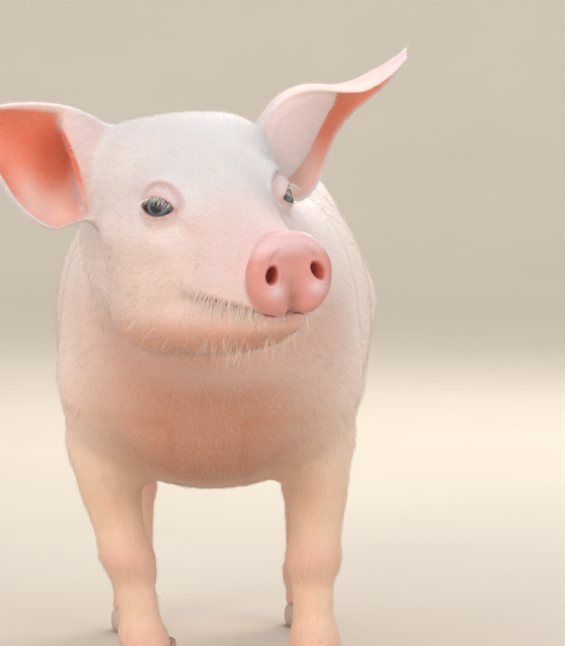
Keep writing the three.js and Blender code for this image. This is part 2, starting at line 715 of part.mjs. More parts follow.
function addHead() {
  let whole = solidOf(fieldGeometry(fleshOfHead, [-75, -162, -66], [75, 8, 120], CELLS.head));
  for (const [name, side] of Object.entries(SIDES))
    whole = whole.add(mirrored(earSolid(name), side));
  whole = whole.intersect(solidOf(aheadOfNeck(GAP / 2)));
  for (const [name, side] of Object.entries(SIDES)) {
    addNode("ear_" + name, whole.intersect(mirrored(earSpace(EAR_POSES[name], 0), side)), skin, head);
    whole = whole.subtract(mirrored(earSpace(EAR_POSES[name], GAP), side));
  }
  for (const [name, side] of Object.entries(SIDES)) {
    const lids = ballSolid(EYE.radius + LID.thick, eyeAt(side), 18, 11);
    const socket = ballSolid(EYE.radius + GAP, eyeAt(side), 18, 11);
    whole = whole.add(lids).subtract(eyeOpening(side)).subtract(socket);
    addNode("eye_" + name, ballSolid(EYE.radius, eyeAt(side), 14, 8), eyeGloss, head);
  }
  const snoutCut = -HEAD_LENGTH + SNOUT_CUT;
  const upper = whole.subtract(jawSpace(GAP));
  const snout = upper.intersect(boxSolid([-FAR, -FAR, -FAR], [FAR, snoutCut - GAP / 2, FAR]));
  const behindSnout = boxSolid([-FAR, snoutCut + GAP / 2, -FAR], [FAR, FAR, FAR]);
  addNode("head", upper.intersect(behindSnout), skin, head);
  addNode("snout", snout.subtract(nostril(1)).subtract(nostril(-1)), pinkSkin, head);
  addNode("lower_jaw", whole.intersect(jawSpace(0)), skin, head);
}

// ---- Tail ----
// A curve that leaves the rump, falls a little and makes one curl to the left.
class TailCurve extends THREE.Curve {
  getPoint(t, target = new THREE.Vector3()) {
    const [x, y, z] = TAIL.root;
    const angle = t * TAIL.turns * 2 * Math.PI;
    const wide = TAIL.coil * clamp(t * 2.2, 0, 1);
    const rise = wide * (1 - Math.cos(angle)) - TAIL.fall * t;
    return target.set(x + wide * Math.sin(angle), y + TAIL.back * t ** 0.8, z + rise);
  }
}

function addTail(torso) {
  const curve = new TailCurve();
  const frames = curve.computeFrenetFrames(TAIL_RINGS, false);
  const rings = frames.tangents.map((_, i) => {
    const t = i / TAIL_RINGS;
    const radius = TAIL.thick + (TAIL.tip - TAIL.thick) * t ** 0.8;
    const middle = curve.getPointAt(t);
    return Array.from({ length: 8 }, (_, n) => {
      const angle = (n * Math.PI) / 4;
      const spoke = frames.normals[i].clone().multiplyScalar(Math.cos(angle));
      spoke.addScaledVector(frames.binormals[i], Math.sin(angle));
      return middle.clone().addScaledVector(spoke, radius).toArray();
    });
  });
  addNode("tail", clearOf(solidOf(ringGeometry(rings)), torso), skin);
}

const torso = addTorso();
addLegs();
addNeck();
addHead();
addTail(torso);

// The frame's origin: under the middle of the whole pig, at the level of the claws.
pig.updateMatrixWorld(true);
const bounds = new THREE.Box3().setFromObject(pig, true);
const middle = bounds.getCenter(new THREE.Vector3());
pig.position.set(-middle.x, -middle.y, -bounds.min.z);

export default pig;
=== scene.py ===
"""A young pig with its head turned to its left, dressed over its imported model.

The skin is one field of blended forms, in the pig's own frame: millimetres, +X to the pig's left, -Y
forward, +Z up, with the spine over x = 0. It is meshed once, finer at the head, and set in place from the
packed eye. The coat's hairs are rooted on its faces.
"""

import math
from concurrent.futures import ThreadPoolExecutor

import bpy
import numpy as np
from mathutils import Matrix, Vector


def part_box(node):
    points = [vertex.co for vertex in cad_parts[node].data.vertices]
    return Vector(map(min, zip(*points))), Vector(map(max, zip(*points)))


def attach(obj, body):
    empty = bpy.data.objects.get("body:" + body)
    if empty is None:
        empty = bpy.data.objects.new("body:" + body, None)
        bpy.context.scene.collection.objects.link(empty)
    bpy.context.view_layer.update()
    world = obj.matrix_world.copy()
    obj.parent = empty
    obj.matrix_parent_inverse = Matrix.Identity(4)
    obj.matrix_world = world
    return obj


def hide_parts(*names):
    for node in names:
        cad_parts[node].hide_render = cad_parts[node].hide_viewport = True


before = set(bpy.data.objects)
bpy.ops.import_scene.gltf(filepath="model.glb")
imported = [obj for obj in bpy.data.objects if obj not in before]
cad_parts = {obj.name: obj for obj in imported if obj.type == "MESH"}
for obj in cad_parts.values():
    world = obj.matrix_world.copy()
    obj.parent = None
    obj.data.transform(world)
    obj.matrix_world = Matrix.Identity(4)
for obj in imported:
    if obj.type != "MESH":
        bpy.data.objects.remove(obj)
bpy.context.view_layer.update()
MM = 0.001

# ---- Driving dimensions, as in the solids ----
HEAD_AT = (-27, -222, 237)
HEAD_TURN, HEAD_LIFT, HEAD_TILT = 28.5, 1, 4  # degrees
HEAD_LENGTH = 157.5

EYE_AT = (31, -80, 51)  # on the left, in the head's frame
EYE_RADIUS = 10.5
EYE_OUTWARD, EYE_UPWARD = 52, 3  # degrees from straight ahead
LID_THICK = 1.9
OPENING = {"half_width": 9.0, "upper": 5.0, "lower": 4.3, "tilt": 10}

SNOUT = {"centre": 16.4, "half_width": 23.3, "half_height": 21.2, "thick": 12, "round": 4.5, "lean": 3}
NOSTRIL = {"side": 13.4, "height": 16.4, "radii": (2.9, 11, 4.5), "lean": -24, "toe": 12}
MOUTH = [(102, 5), (112, 4), (126, 1), (138, -1.5), (148, -4.5)]  # (forward, up)

EAR_ROOT = (40.5, -34, 64)
EAR_LENGTH, EAR_THICK, EAR_EDGE, EAR_RIM = 110, 2.6, 2.5, 1.6
EAR_POSES = {  # by side: the left's is 1
    1: {"lift": 22, "sweep": -8, "roll": 7, "twist": 54, "rise": 11, "furl": 16},
    -1: {"lift": 18, "sweep": -2, "roll": 0, "twist": 0, "rise": 0, "furl": 0},
}
EAR_WALL = {"back": 1, "deep": 10, "up": 4, "high": 25, "round": 0.4}
EAR_WALLS = {1: (12, 50, 0.2), -1: (2, 32, 0.45)}  # the wall's middle, half length and climb along the ear
EAR_CUP = {"back": 4, "deep": 13, "up": 2, "high": 32, "long": 22}
EAR_CUPS = {1: (62.5, 0.6), -1: (35.5, 0.65)}  # the cup's middle along the ear and its slant
# [share of the ear's length, height of its upper edge, depth of its lower edge, depth of the cup]
EAR_STATIONS = [
    [-0.1, 16, 15, 15], [0, 23, 18, 19], [0.115, 28.5, 23.5, 20], [0.214, 31, 29.8, 18],
    [0.32, 31.7, 28.5, 15], [0.445, 29.8, 21.8, 12], [0.555, 26.6, 11.5, 9.5], [0.66, 22.6, 1.5, 7.5],
    [0.764, 19.5, -2.5, 6], [0.864, 16.5, -4, 4], [0.945, 14.8, -4.6, 2], [0.98, 13, -6, 1],
    [1, 10.5, -8.2, 0.6],
]

FRONT_FOOT, HIND_FOOT = (56, -124), (54, 153)
LEGS = {  # name: (side, front, step to the left, step back)
    "front_left": (1, True, 4, -2),
    "front_right": (-1, True, 24, 4),
    "hind_left": (1, False, 2, 10),
    "hind_right": (-1, False, 0, -12),
}
STEP_TOP = 135
CORONET = {"height": 19, "heel_height": 11, "toe": 18, "heel": 13, "over": 2}  # where skin meets horn

TAIL = {"root": (0, 194, 262), "thick": 5.4, "tip": 1.8, "coil": 15, "turns": 1.3, "back": 30, "fall": 34}
TAIL_POINTS = 34


def columns(*rows):
    return np.stack(rows, axis=1)


def unit(vectors):
    return vectors / np.maximum(np.linalg.norm(vectors, axis=1, keepdims=True), 1e-9)


# ---- Fields: each takes arrays x, y, z and gives about the distance to a surface, negative inside ----
def smooth_min(a, b, blend):
    h = np.maximum(blend - np.abs(a - b), 0) / blend
    return np.minimum(a, b) - h * h * blend / 4


def smooth_max(a, b, blend):
    return -smooth_min(-a, -b, blend)


def step(low, high, v):
    t = np.clip((v - low) / (high - low), 0, 1)
    return t * t * (3 - 2 * t)


def bump(v, width):
    return np.exp(-((v / width) ** 2))


def spun(a, b, angle):
    """Two coordinates after their axes turn by an angle in degrees."""
    cos, sin = math.cos(math.radians(angle)), math.sin(math.radians(angle))
    return cos * a + sin * b, cos * b - sin * a


def beside(p, at, side=1):
    """Coordinates from a place on the left, or from its mirror image on the right."""
    return p[0] * side - at[0], p[1] - at[1], p[2] - at[2]


def ball(p, centre, radii, turn=0):
    x, y, z = beside(p, centre)
    y, z = spun(y, z, turn)
    a, b, c = radii
    k0 = np.sqrt((x / a) ** 2 + (y / b) ** 2 + (z / c) ** 2)
    k1 = np.sqrt((x / a**2) ** 2 + (y / b**2) ** 2 + (z / c**2) ** 2)
    return k0 * (k0 - 1) / np.maximum(k1, 1e-6)


def limb(p, a, b, radii):
    axis, d = beside(b, a), beside(p, a)
    long = sum(v * v for v in axis)
    t = np.clip((d[0] * axis[0] + d[1] * axis[1] + d[2] * axis[2]) / long, 0, 1)
    away = np.sqrt(sum((d[i] - t * axis[i]) ** 2 for i in range(3)))
    return away - (radii[0] + (radii[1] - radii[0]) * t)


def through(rows, at):
    """A smooth curve through rows of numbers, read at the first number of a row."""
    rows = np.array(rows, dtype=np.float32)
    keys = rows[:, 0]
    u = np.clip(at, keys[0], keys[-1])
    i = np.clip(np.searchsorted(keys, u) - 1, 0, len(keys) - 2)
    slope = np.empty_like(rows)
    slope[1:-1] = (rows[2:] - rows[:-2]) / (keys[2:] - keys[:-2])[:, None]
    slope[0] = (rows[1] - rows[0]) / (keys[1] - keys[0])
    slope[-1] = (rows[-1] - rows[-2]) / (keys[-1] - keys[-2])
    length = keys[i + 1] - keys[i]
    t = (u - keys[i]) / length
    a, b = 2 * t**3 - 3 * t**2 + 1, 3 * t**2 - 2 * t**3
    c, d = (t**3 - 2 * t**2 + t) * length, (t**3 - t**2) * length
    return [
        a * rows[i, k] + b * rows[i + 1, k] + c * slope[i, k] + d * slope[i + 1, k]
        for k in range(rows.shape[1])
    ]


def barrel(p, stations, power):
    """A body along Y, from stations of [y, top, underside, half the width, height of the widest place]."""
    x, y, z = p
    _, top, under, half, wide = through(stations, y)
    tall = np.where(z > wide, top - wide, wide - under)
    a, b = np.abs(x) / half, np.abs(z - wide) / tall
    k0 = np.maximum((a**power + b**power) ** (1 / power), 1e-4)
    steep = np.sqrt((a ** (power - 1) / half) ** 2 + (b ** (power - 1) / tall) ** 2)
    across = (k0 - 1) / np.maximum(k0 ** (1 - power) * steep, 1e-6)
    across = np.where(k0 < 2e-4, -np.minimum(half, tall), across)
    past = np.maximum(stations[0][0] - y, y - stations[-1][0])
    return np.where(past > 0, np.hypot(np.maximum(across, 0), np.maximum(past, 0)), across)


def blended(d, *forms):
    """The first form, with each later (form, blend) blended on to it."""
    for form, blend in forms:
        d = smooth_min(d, form, blend)
    return d


# ---- The flesh ----
TRUNK = [
    [-165, 294, 152, 62, 226], [-120, 303, 130, 74, 218], [-75, 305, 116, 85, 212], [-20, 305, 111, 92, 210],
    [40, 303, 112, 93, 210], [85, 300, 118, 89, 212], [120, 298, 128, 81, 214], [150, 291, 146, 70, 218],
    [180, 279, 166, 52, 220],
]
CRANIUM = [
    [-146, 37, 0, 18.5, 16], [-130, 42, -2, 21, 16], [-112, 51, -4, 26, 18], [-95, 64, -8, 32, 20],
    [-78, 81, -20, 40, 22], [-60, 93, -27, 46, 25], [-42, 97, -27, 45, 29], [-20, 92, -20, 39, 34],
    [10, 77, -2, 31, 38],
]
JAW = [
    [-143, -3, -12, 8, -8], [-134, -1, -17, 13.5, -9], [-120, 1, -22, 21, -9], [-100, 4, -26, 28, -9],
    [-80, 8, -28, 35, -7], [-50, 10, -28, 40, -6],
]


def trunk(p):
    return blended(
        barrel(p, TRUNK, 2.15),
        (ball(p, (0, 152, 222), (67, 60, 76)), 30),
        (ball(p, (0, -132, 208), (61, 56, 80)), 30),
        (ball(p, (0, -160, 180), (36, 30, 38)), 24),
    )


def neck(p):
    throat = limb(p, (0, -160, 200), (-18, -216, 244), (52, 34))
    return smooth_min(limb(p, (0, -140, 226), (-20, -216, 272), (68, 46)), throat, 24)


def front_leg(p):
    return blended(
        ball(p, (46, -112, 202), (31, 46, 72), 12),
        (limb(p, (53, -126, 180), (58, -103, 150), (30, 22)), 18),
        (limb(p, (62, -103, 144), (58, -112, 84), (18, 13.5)), 10),
        (ball(p, (61, -106, 126), (14, 20, 28)), 8),
        (ball(p, (56.5, -114, 79), (14.5, 15.5, 14)), 8),
        (limb(p, (56, -113, 72), (56, -115, 36), (11.6, 11.2)), 6),
        (ball(p, (56, -116, 33), (13.5, 14, 11)), 8),
        (limb(p, (56, -119, 27), (56, -126, 14), (12, 12.5)), 6),
    )


def hind_leg(p):
    return blended(
        ball(p, (44, 134, 216), (38, 66, 80), -12),
        (limb(p, (54, 120, 205), (59, 102, 162), (46, 30)), 20),
        (limb(p, (55, 118, 162), (54, 168, 110), (34, 15)), 16),
        (limb(p, (54, 171, 106), (54, 172, 90), (15, 13.5)), 8),
        (ball(p, (54, 185, 110), (7, 8, 13)), 10),
        (limb(p, (54, 171, 88), (54, 164, 38), (12.4, 11.4)), 6),
        (ball(p, (54, 161, 33), (13.5, 14, 11)), 8),
        (limb(p, (54, 158, 27), (54, 151, 14), (12, 12.5)), 6),
    )


def disc(p):
    """The snout's disc: a rounded superellipse that leans forward at its top."""
    x, y, z = p
    up = z - SNOUT["centre"]
    forward = -y - (HEAD_LENGTH - SNOUT["thick"] / 2) - up * math.tan(math.radians(SNOUT["lean"]))
    rounding = SNOUT["round"] + 3 * step(2, 16, up)
    half = SNOUT["half_width"] * (1 - 0.1 * step(0, 20, up) - 0.05 * step(0, -18, up))
    a, b = np.abs(x) / half, np.abs(up) / SNOUT["half_height"]
    k0 = np.maximum((a**2.4 + b**2.4) ** (1 / 2.4), 1e-3)
    across = np.maximum(np.hypot(x, up) * (1 - 1 / k0), -SNOUT["half_height"])
    qa, qf = across + rounding, np.abs(forward) - SNOUT["thick"] / 2 + rounding
    return np.minimum(np.maximum(qa, qf), 0) + np.hypot(np.maximum(qa, 0), np.maximum(qf, 0)) - rounding


# ---- Frames ----
def head_axes():
    """The head's own axes: turned, then lifted, then tilted."""
    turns = ((HEAD_TURN, "Z"), (-HEAD_LIFT, "X"), (-HEAD_TILT, "Y"))
    turned, lifted, tilted = (Matrix.Rotation(math.radians(a), 3, axis) for a, axis in turns)
    return np.array(turned @ lifted @ tilted, dtype=np.float32)


HEAD_TURNED, HEAD_PLACE = head_axes(), np.array(HEAD_AT, dtype=np.float32)


def to_head(p):
    """Points of the pig's frame, in the head's."""
    d = [p[i] - HEAD_PLACE[i] for i in range(3)]
    return [sum(HEAD_TURNED[i, k] * d[i] for i in range(3)) for k in range(3)]


def from_head(p):
    return [sum(HEAD_TURNED[i, k] * p[k] for k in range(3)) + HEAD_PLACE[i] for i in range(3)]


def ear_axes(side):
    pose = EAR_POSES[side]
    up = Matrix.Rotation(math.radians(-pose["lift"]), 3, "Y")
    back = Matrix.Rotation(math.radians(pose["sweep"]), 3, "Z")
    return np.array(back @ up, dtype=np.float32)


def to_ear(head, side):
    """Points of the head's frame in an ear's: along it, back from its open face, and up across it."""
    pose, axes = EAR_POSES[side], ear_axes(side)
    d = beside(head, EAR_ROOT, side)
    along, back, up = (sum(axes[i, k] * d[i] for i in range(3)) for k in range(3))
    share = along / EAR_LENGTH
    up = up - pose["rise"] * np.maximum(share, 0) ** 6
    turn = math.radians(pose["roll"]) + math.radians(pose["twist"]) * step(0.2, 0.7, share)
    return share, back * np.cos(turn) + up * np.sin(turn), up * np.cos(turn) - back * np.sin(turn)


def ear_sheet(share, up, side):
    """The ear's sheet at a place along and across it: its edges, its middle's depth and slope, its half."""
    _, upper, lower, deep = through(EAR_STATIONS, share)
    upper = upper - EAR_POSES[side]["furl"] * step(0.5, 0, share)
    width = upper + lower
    v = np.clip((upper - up) / width, 0, 1)
    off = np.abs(2 * v - 1)
    rim = EAR_RIM * bump(v, 0.12) * np.clip(share * 4, 0, 1)
    thick = (EAR_EDGE + (EAR_THICK - EAR_EDGE) * np.clip(1.1 - share, 0, 1)) * (1 - 0.06 * off**4)
    middle = deep * (1 - off**2.4) - rim + thick / 2
    slope = deep * 4.8 * off**1.4 / width
    return v, upper, lower, middle, slope, thick / 2


def ear_cup(along, back, up, side):
    at, slant = EAR_CUPS[side]
    radii = (EAR_CUP["long"], EAR_CUP["deep"], EAR_CUP["high"])
    return ball((along - slant * up, back, up), (at, EAR_CUP["back"], EAR_CUP["up"]), radii)


def ear_bulge(along, back, up, upper, side):
    """The flesh in front of the ear's root, before the cup is taken from it."""
    middle, half, climb = EAR_WALLS[side]
    radii = (half, EAR_WALL["deep"], EAR_WALL["high"])
    bulge = ball((along, back, up - climb * along), (middle, EAR_WALL["back"], EAR_WALL["up"]), radii)
    return smooth_max(bulge, up - upper + EAR_WALL["round"] * np.abs(back), 4)


def ear_wall(along, back, up, upper, side):
    """The wall in front of the ear's root, which ends in a rim where the cup begins."""
    return smooth_max(ear_bulge(along, back, up, upper, side), -ear_cup(along, back, up, side), 3)


def ear(head, side):
    share, back, up = to_ear(head, side)
    _, upper, lower, middle, slope, half = ear_sheet(share, up, side)
    outside = np.maximum(np.maximum(up - upper, -lower - up), 0)
    flat = (back - middle) / np.sqrt(1 + slope**2)
    past = np.maximum(np.maximum(share - 1, -0.1 - share), 0) * EAR_LENGTH
    sheet = np.sqrt(flat**2 + outside**2 + past**2) - half
    return smooth_min(sheet, ear_wall(share * EAR_LENGTH, back, up, upper, side), 5)


# ---- The head's details ----
def eye_frame(head, side):
    """Points of the head's frame round one eye: sideways towards the temple, up, and outward."""
    x, y, z = beside(head, EYE_AT, side)
    across, behind = spun(x, y, EYE_OUTWARD)
    outward, up = spun(-behind, z, EYE_UPWARD)
    return *spun(across, up, OPENING["tilt"]), outward


def lid_radius(high):
    """The radius of a lid's edge that is so high above the eye's corners."""
    return (OPENING["half_width"] ** 2 + high * high) / (2 * high)


def eye_opening(across, up):
    """The almond between the lids, where two circles cross."""
    arcs = []
    for sign, high in ((1, OPENING["upper"]), (-1, OPENING["lower"])):
        radius = lid_radius(high)
        arcs.append(np.hypot(across, sign * up - (high - radius)) - radius)
    return smooth_max(*arcs, 0.8)


def with_eyes(d, head):
    for side in (1, -1):
        far = np.abs(head[0] * side - EYE_AT[0]) + np.abs(head[1] - EYE_AT[1])
        where = (far < 50) & (np.abs(head[2] - EYE_AT[2]) < 30)
        across, up, outward = eye_frame(at_rows(where, head), side)
        near = np.sqrt(across**2 + up**2 + outward**2)
        radial = np.hypot(across, up)
        opening = eye_opening(across, up)
        front = step(0, 6, outward)
        e = smooth_min(d[where], near - EYE_RADIUS - LID_THICK, 4)
        e = e + 1.4 * bump(radial - 11.8, 1.3) * step(-4, 5, up) * front
        e = e + 0.25 * bump(radial - 11.5, 1.3) * step(-2, -8, up) * front
        e = e - 0.6 * bump(radial - 16, 3.2) * step(0, 9, up) * front
        e = e - 0.35 * bump(opening - 1.0, 0.9) * front
        shut = np.where(outward > 0, opening, 9.0)
        e = smooth_max(e, -shut, 0.9)
        socket = np.maximum(near - EYE_RADIUS - 0.15, opening - 0.6)
        d[where] = smooth_max(e, -socket, 0.3)
    return d


def with_wrinkles(d, head):
    """Fine creases between each eye and its ear."""
    where = (head[1] < -30) & (head[1] > -95) & (head[2] > 34)
    x, y, z = at_rows(where, head)
    across = z + 0.3 * (y + 60) + 1.3 * np.sin(0.33 * y) + 0.6 * np.sin(0.9 * y)
    place = bump(np.hypot((y + 55) / 12, (z - 70) / 9), 1) * step(24, 32, np.abs(x))
    broken = 0.6 + 0.4 * np.sin(0.7 * y + 0.9 * z)
    d[where] += 0.55 * place * broken * np.abs(np.sin(across * math.pi / 3.9)) ** 6
    return d


def behind_disc(start, end, forward):
    """From 0 to 1 between two places, each so many mm behind the disc's face."""
    return step(HEAD_LENGTH - start, HEAD_LENGTH - end, forward)


def mouth_height(forward):
    return through(MOUTH, forward)[1]


def nostril_holes(head):
    holes = None
    for side in (1, -1):
        x, y = head[0] - NOSTRIL["side"] * side, head[1] + HEAD_LENGTH + 2
        x, y = spun(x, y, NOSTRIL["toe"] * side)
        x, z = spun(x, head[2] - NOSTRIL["height"], -NOSTRIL["lean"] * side)
        hole = ball((x, y, z), (0, 0, 0), NOSTRIL["radii"])
        holes = hole if holes is None else np.minimum(holes, hole)
    return holes


def with_snout(d, head):
    """The disc's dished face, its lobes and the valley between them, and the nostrils with their folds."""
    where = head[1] < -(HEAD_LENGTH - 36)
    x, y, z = at_rows(where, head)
    e, forward, wide, up = d[where], -y, np.abs(x), z - SNOUT["centre"]
    on_face = behind_disc(9, 3, forward)
    on_rim = behind_disc(15, 7, forward)
    holes = nostril_holes((x, y, z))
    e = e - 0.8 * bump(holes - 1.5, 1.6) * on_face
    e = e - 2.4 * bump(np.hypot((wide - 11.5) / 8, (up + 9) / 7.5), 1) * on_face
    e = e - 1.2 * bump(wide - 11, 7) * step(-10, -19, up) * on_rim
    e = e + 2.0 * bump(x, 5) * step(8, -6, up) * on_face
    e = e + 3.2 * bump(x, 3.2) * step(-9, -18, up) * on_rim
    e = e + 0.9 * bump(up - 6, 5) * step(19, 12, wide) * on_face
    fold = np.abs(up - 3 - 0.9 * (17 - wide)) / 1.35
    e = e + 0.8 * bump(fold, 1.4) * step(5, 9, wide) * step(15, 12, wide) * on_face
    waves = np.sin((forward + 0.05 * x * x / 4) * 2 * math.pi / 4.7 + 0.6 * np.sin(x * 0.3))
    e = e + 0.14 * waves * step(127, 133, forward) * step(147, 141, forward) * step(18, 30, z)
    d[where] = smooth_max(e, -holes, 1.8)
    return d


def with_mouth(d, head):
    where = (head[1] < -90) & (np.abs(head[2]) < 22)
    _, y, z = at_rows(where, head)
    above = z - mouth_height(-y)
    span = step(98, 112, -y) * behind_disc(4, 9, -y)
    groove = 1.2 * bump(above, 0.85) - 0.7 * bump(above - 3.2, 2.4) - 0.6 * bump(above + 3.0, 2.2)
    d[where] += groove * span
    return d


def skull(head):
    mirrored = [np.abs(head[0]), *head[1:]]
    cranium = blended(
        barrel(mirrored, CRANIUM, 2.1),
        (ball(mirrored, (21, -38, -4), (20, 28, 23)), 12),
        (ball(mirrored, (27, -72, 62.5), (10, 14, 8)), 14),
        (ball(mirrored, (34, -34, 64), (17, 16, 25)), 14),
        (ball(mirrored, (23, -42, 69), (25, 22, 24)), 14),
        (limb(mirrored, (35, -80, 34), (43, -50, 40), (7, 9)), 12),
        (limb(mirrored, (11, -144, 7), (25, -100, 11), (8, 6.5)), 11),
    )
    jaw = smooth_min(barrel(mirrored, JAW, 2), limb(mirrored, (7, -137, -7), (21, -98, -6), (5, 6.5)), 9)
    return smooth_min(smooth_min(cranium, disc(head), 4), jaw, 5)


# ---- The tail ----
def tail_line():
    """Points along the tail's curl, and its radius at each."""
    t = np.linspace(0, 1, TAIL_POINTS)
    angle = t * TAIL["turns"] * 2 * math.pi
    wide = TAIL["coil"] * np.clip(t * 2.2, 0, 1)
    x, y, z = TAIL["root"]
    rise = wide * (1 - np.cos(angle)) - TAIL["fall"] * t
    points = columns(x + wide * np.sin(angle), y + TAIL["back"] * t**0.8, z + rise)
    return points, TAIL["thick"] + (TAIL["tip"] - TAIL["thick"]) * t**0.8


def tail(p):
    points, radii = tail_line()
    d = np.full_like(p[0], 1e3)
    for a, b, ra, rb in zip(points[:-1], points[1:], radii[:-1], radii[1:]):
        d = np.minimum(d, limb(p, a, b, (ra, rb)))
    return d


# ---- The whole skin ----
def foot_of(leg):
    side, front, left, back = LEGS[leg]
    foot = FRONT_FOOT if front else HIND_FOOT
    return foot[0] * side + left, foot[1] + back


def coronet_height(along):
    """The height where skin meets horn, at places along a foot."""
    fall = (CORONET["height"] - CORONET["heel_height"]) / (CORONET["toe"] + CORONET["heel"])
    return CORONET["height"] - (along + CORONET["toe"]) * fall


def leg_field(p, name):
    side, front, left, back = LEGS[name]
    share = np.clip(1 - p[2] / STEP_TOP, 0, 1)
    q = [(p[0] - left * share) * side, p[1] - back * share, p[2]]
    d = front_leg(q) if front else hind_leg(q)
    x, y = foot_of(name)
    d = d + 1.5 * bump(p[0] - x, 1.6) * step(26, 16, p[2])
    return smooth_max(d, coronet_height(p[1] - y) - CORONET["over"] - p[2], 5)


def at_rows(where, p):
    return [v[where] for v in p]


def skin_field(p):
    """The whole pig's skin. Forms are read only near where they reach."""
    d = trunk(p)
    front = p[1] < -50
    q = at_rows(front, p)
    head = to_head(q)
    near = smooth_min(d[front], neck(q), 30)
    near = smooth_min(near, skull(head), 18)
    for side in (1, -1):
        where = (head[0] * side > 8) & (head[1] > -80) & (head[2] > 18)
        near[where] = smooth_min(near[where], ear(at_rows(where, head), side), 7)
    near = with_wrinkles(with_mouth(with_snout(with_eyes(near, head), head), head), head)
    d[front] = near
    for name, (side, is_front, _, _) in LEGS.items():
        middle = -112 if is_front else 138
        where = (p[0] * side > -32) & (np.abs(p[1] - middle) < 115) & (p[2] < 330)
        d[where] = smooth_min(d[where], leg_field(at_rows(where, p), name), 22)
    rear = p[1] > 170
    d[rear] = smooth_min(d[rear], tail(at_rows(rear, p)), 5)
    return d


# ---- Meshing ----
def spaced(*stretches):
    """Places along an axis from stretches of (start, end, spacing)."""
    places = [np.arange(a, b, h) for a, b, h in stretches]
    return np.concatenate(places + [[stretches[-1][1]]]).astype(np.float32)


def weights(fine, coarse):
    """The matrix that reads values at coarse places at the fine ones."""
    i = np.clip(np.searchsorted(coarse, fine) - 1, 0, len(coarse) - 2)
    t = (fine - coarse[i]) / (coarse[i + 1] - coarse[i])
    out = np.zeros((len(fine), len(coarse)), dtype=np.float32)
    out[np.arange(len(fine)), i] = 1 - t
    out[np.arange(len(fine)), i + 1] += t
    return out


def in_chunks(field, p, size=50_000):
    """The field at many points, a chunk to each of a few threads at a time."""
    chunks = [[v[i : i + size] for v in p] for i in range(0, len(p[0]), size)]
    with ThreadPoolExecutor(4) as pool:
        return np.concatenate(list(pool.map(field, chunks)))


def sampled(field, xs, ys, zs, band):
    """The field on the grid: exact near the surface, and read from every fifth place elsewhere."""
    coarse = [np.unique(np.append(v[::5], v[-1])) for v in (xs, ys, zs)]
    grid = np.stack(np.meshgrid(*coarse, indexing="ij")).reshape(3, -1)
    rough = in_chunks(field, list(grid)).reshape([len(c) for c in coarse])
    for axis, (fine, places) in enumerate(zip((xs, ys, zs), coarse)):
        rough = np.moveaxis(np.tensordot(weights(fine, places), rough, axes=(1, axis)), 0, axis)
    near = np.nonzero(np.abs(rough) < band)
    rough = np.ascontiguousarray(rough, dtype=np.float32)
    rough[near] = in_chunks(field, [xs[near[0]], ys[near[1]], zs[near[2]]])
    return rough


CORNERS = [(i, j, k) for i in (0, 1) for j in (0, 1) for k in (0, 1)]
EDGES = [(corner, axis) for corner in CORNERS for axis in range(3) if not corner[axis]]


def crossed_cells(inside):
    """The places of the cells that have corners on both sides."""
    cells = [n - 1 for n in inside.shape]
    count = np.zeros(cells, dtype=np.int8)
    for corner in CORNERS:
        count += inside[tuple(slice(a, a + n) for a, n in zip(corner, cells))]
    return np.nonzero((count > 0) & (count < len(CORNERS)))


def net_vertices(values, places, cells):
    """One vertex in each cell: the mean of where the surface crosses its edges."""
    low = np.stack([places[n][cells[n]] for n in range(3)], axis=1)
    size = np.stack([places[n][cells[n] + 1] for n in range(3)], axis=1) - low
    value = {c: values[cells[0] + c[0], cells[1] + c[1], cells[2] + c[2]] for c in CORNERS}
    total = np.zeros_like(low)
    count = np.zeros(len(low), dtype=np.float32)
    for start, axis in EDGES:
        end = tuple(1 if n == axis else start[n] for n in range(3))
        crossed = (value[start] < 0) != (value[end] < 0)
        t = np.where(crossed, value[start] / np.where(crossed, value[start] - value[end], 1), 0)
        for n in range(3):
            total[:, n] += np.where(crossed, t if n == axis else start[n], 0)
        count += crossed
    return low + size * total / count[:, None]


def net_quads(inside, number):
    """One quad for each crossed edge of the grid, through the numbered vertices of the cells around it."""
    quads = []
    for axis in range(3):
        u, v = (axis + 1) % 3, (axis + 2) % 3
        here = [slice(1, n) for n in number.shape]
        here[axis] = slice(0, number.shape[axis])
        there = list(here)
        there[axis] = slice(1, number.shape[axis] + 1)
        a, b = inside[tuple(here)], inside[tuple(there)]
        crossed = np.nonzero(a != b)
        ring = []
        for du, dv in ((0, 0), (1, 0), (1, 1), (0, 1)):
            cell = [crossed[n] + here[n].start for n in range(3)]
            cell[u], cell[v] = cell[u] - du, cell[v] - dv
            ring.append(number[tuple(cell)])
        ring = np.stack(ring, axis=1)
        inward = ~a[crossed]
        ring[inward] = ring[inward][:, ::-1]
        quads.append(ring)
    return np.concatenate(quads)


def surface_nets(values, places):
    """Vertices and quads of the surface where the values pass zero."""
    inside = values < 0
    cells = crossed_cells(inside)
    number = np.full([n - 1 for n in inside.shape], -1, dtype=np.int32)
    number[cells] = np.arange(len(cells[0]))
    return net_vertices(values, places, cells), net_quads(inside, number)


def settled(field, vertices, rounds, h=0.2):
    """The vertices, moved on to the surface."""
    for _ in range(rounds):
        here = in_chunks(field, list(vertices.T))
        slope = np.empty_like(vertices)
        for axis in range(3):
            ahead = vertices.copy()
            ahead[:, axis] += h
            slope[:, axis] = (in_chunks(field, list(ahead.T)) - here) / h
        steep = np.maximum((slope**2).sum(axis=1), 0.1)
        move = -(here / steep)[:, None] * slope
        long = np.maximum(np.linalg.norm(move, axis=1, keepdims=True), 1e-6)
        vertices = vertices + move * np.minimum(1, 1.2 / long)
    return vertices


BAND = 10  # the distance from the skin within which the field is read at every place


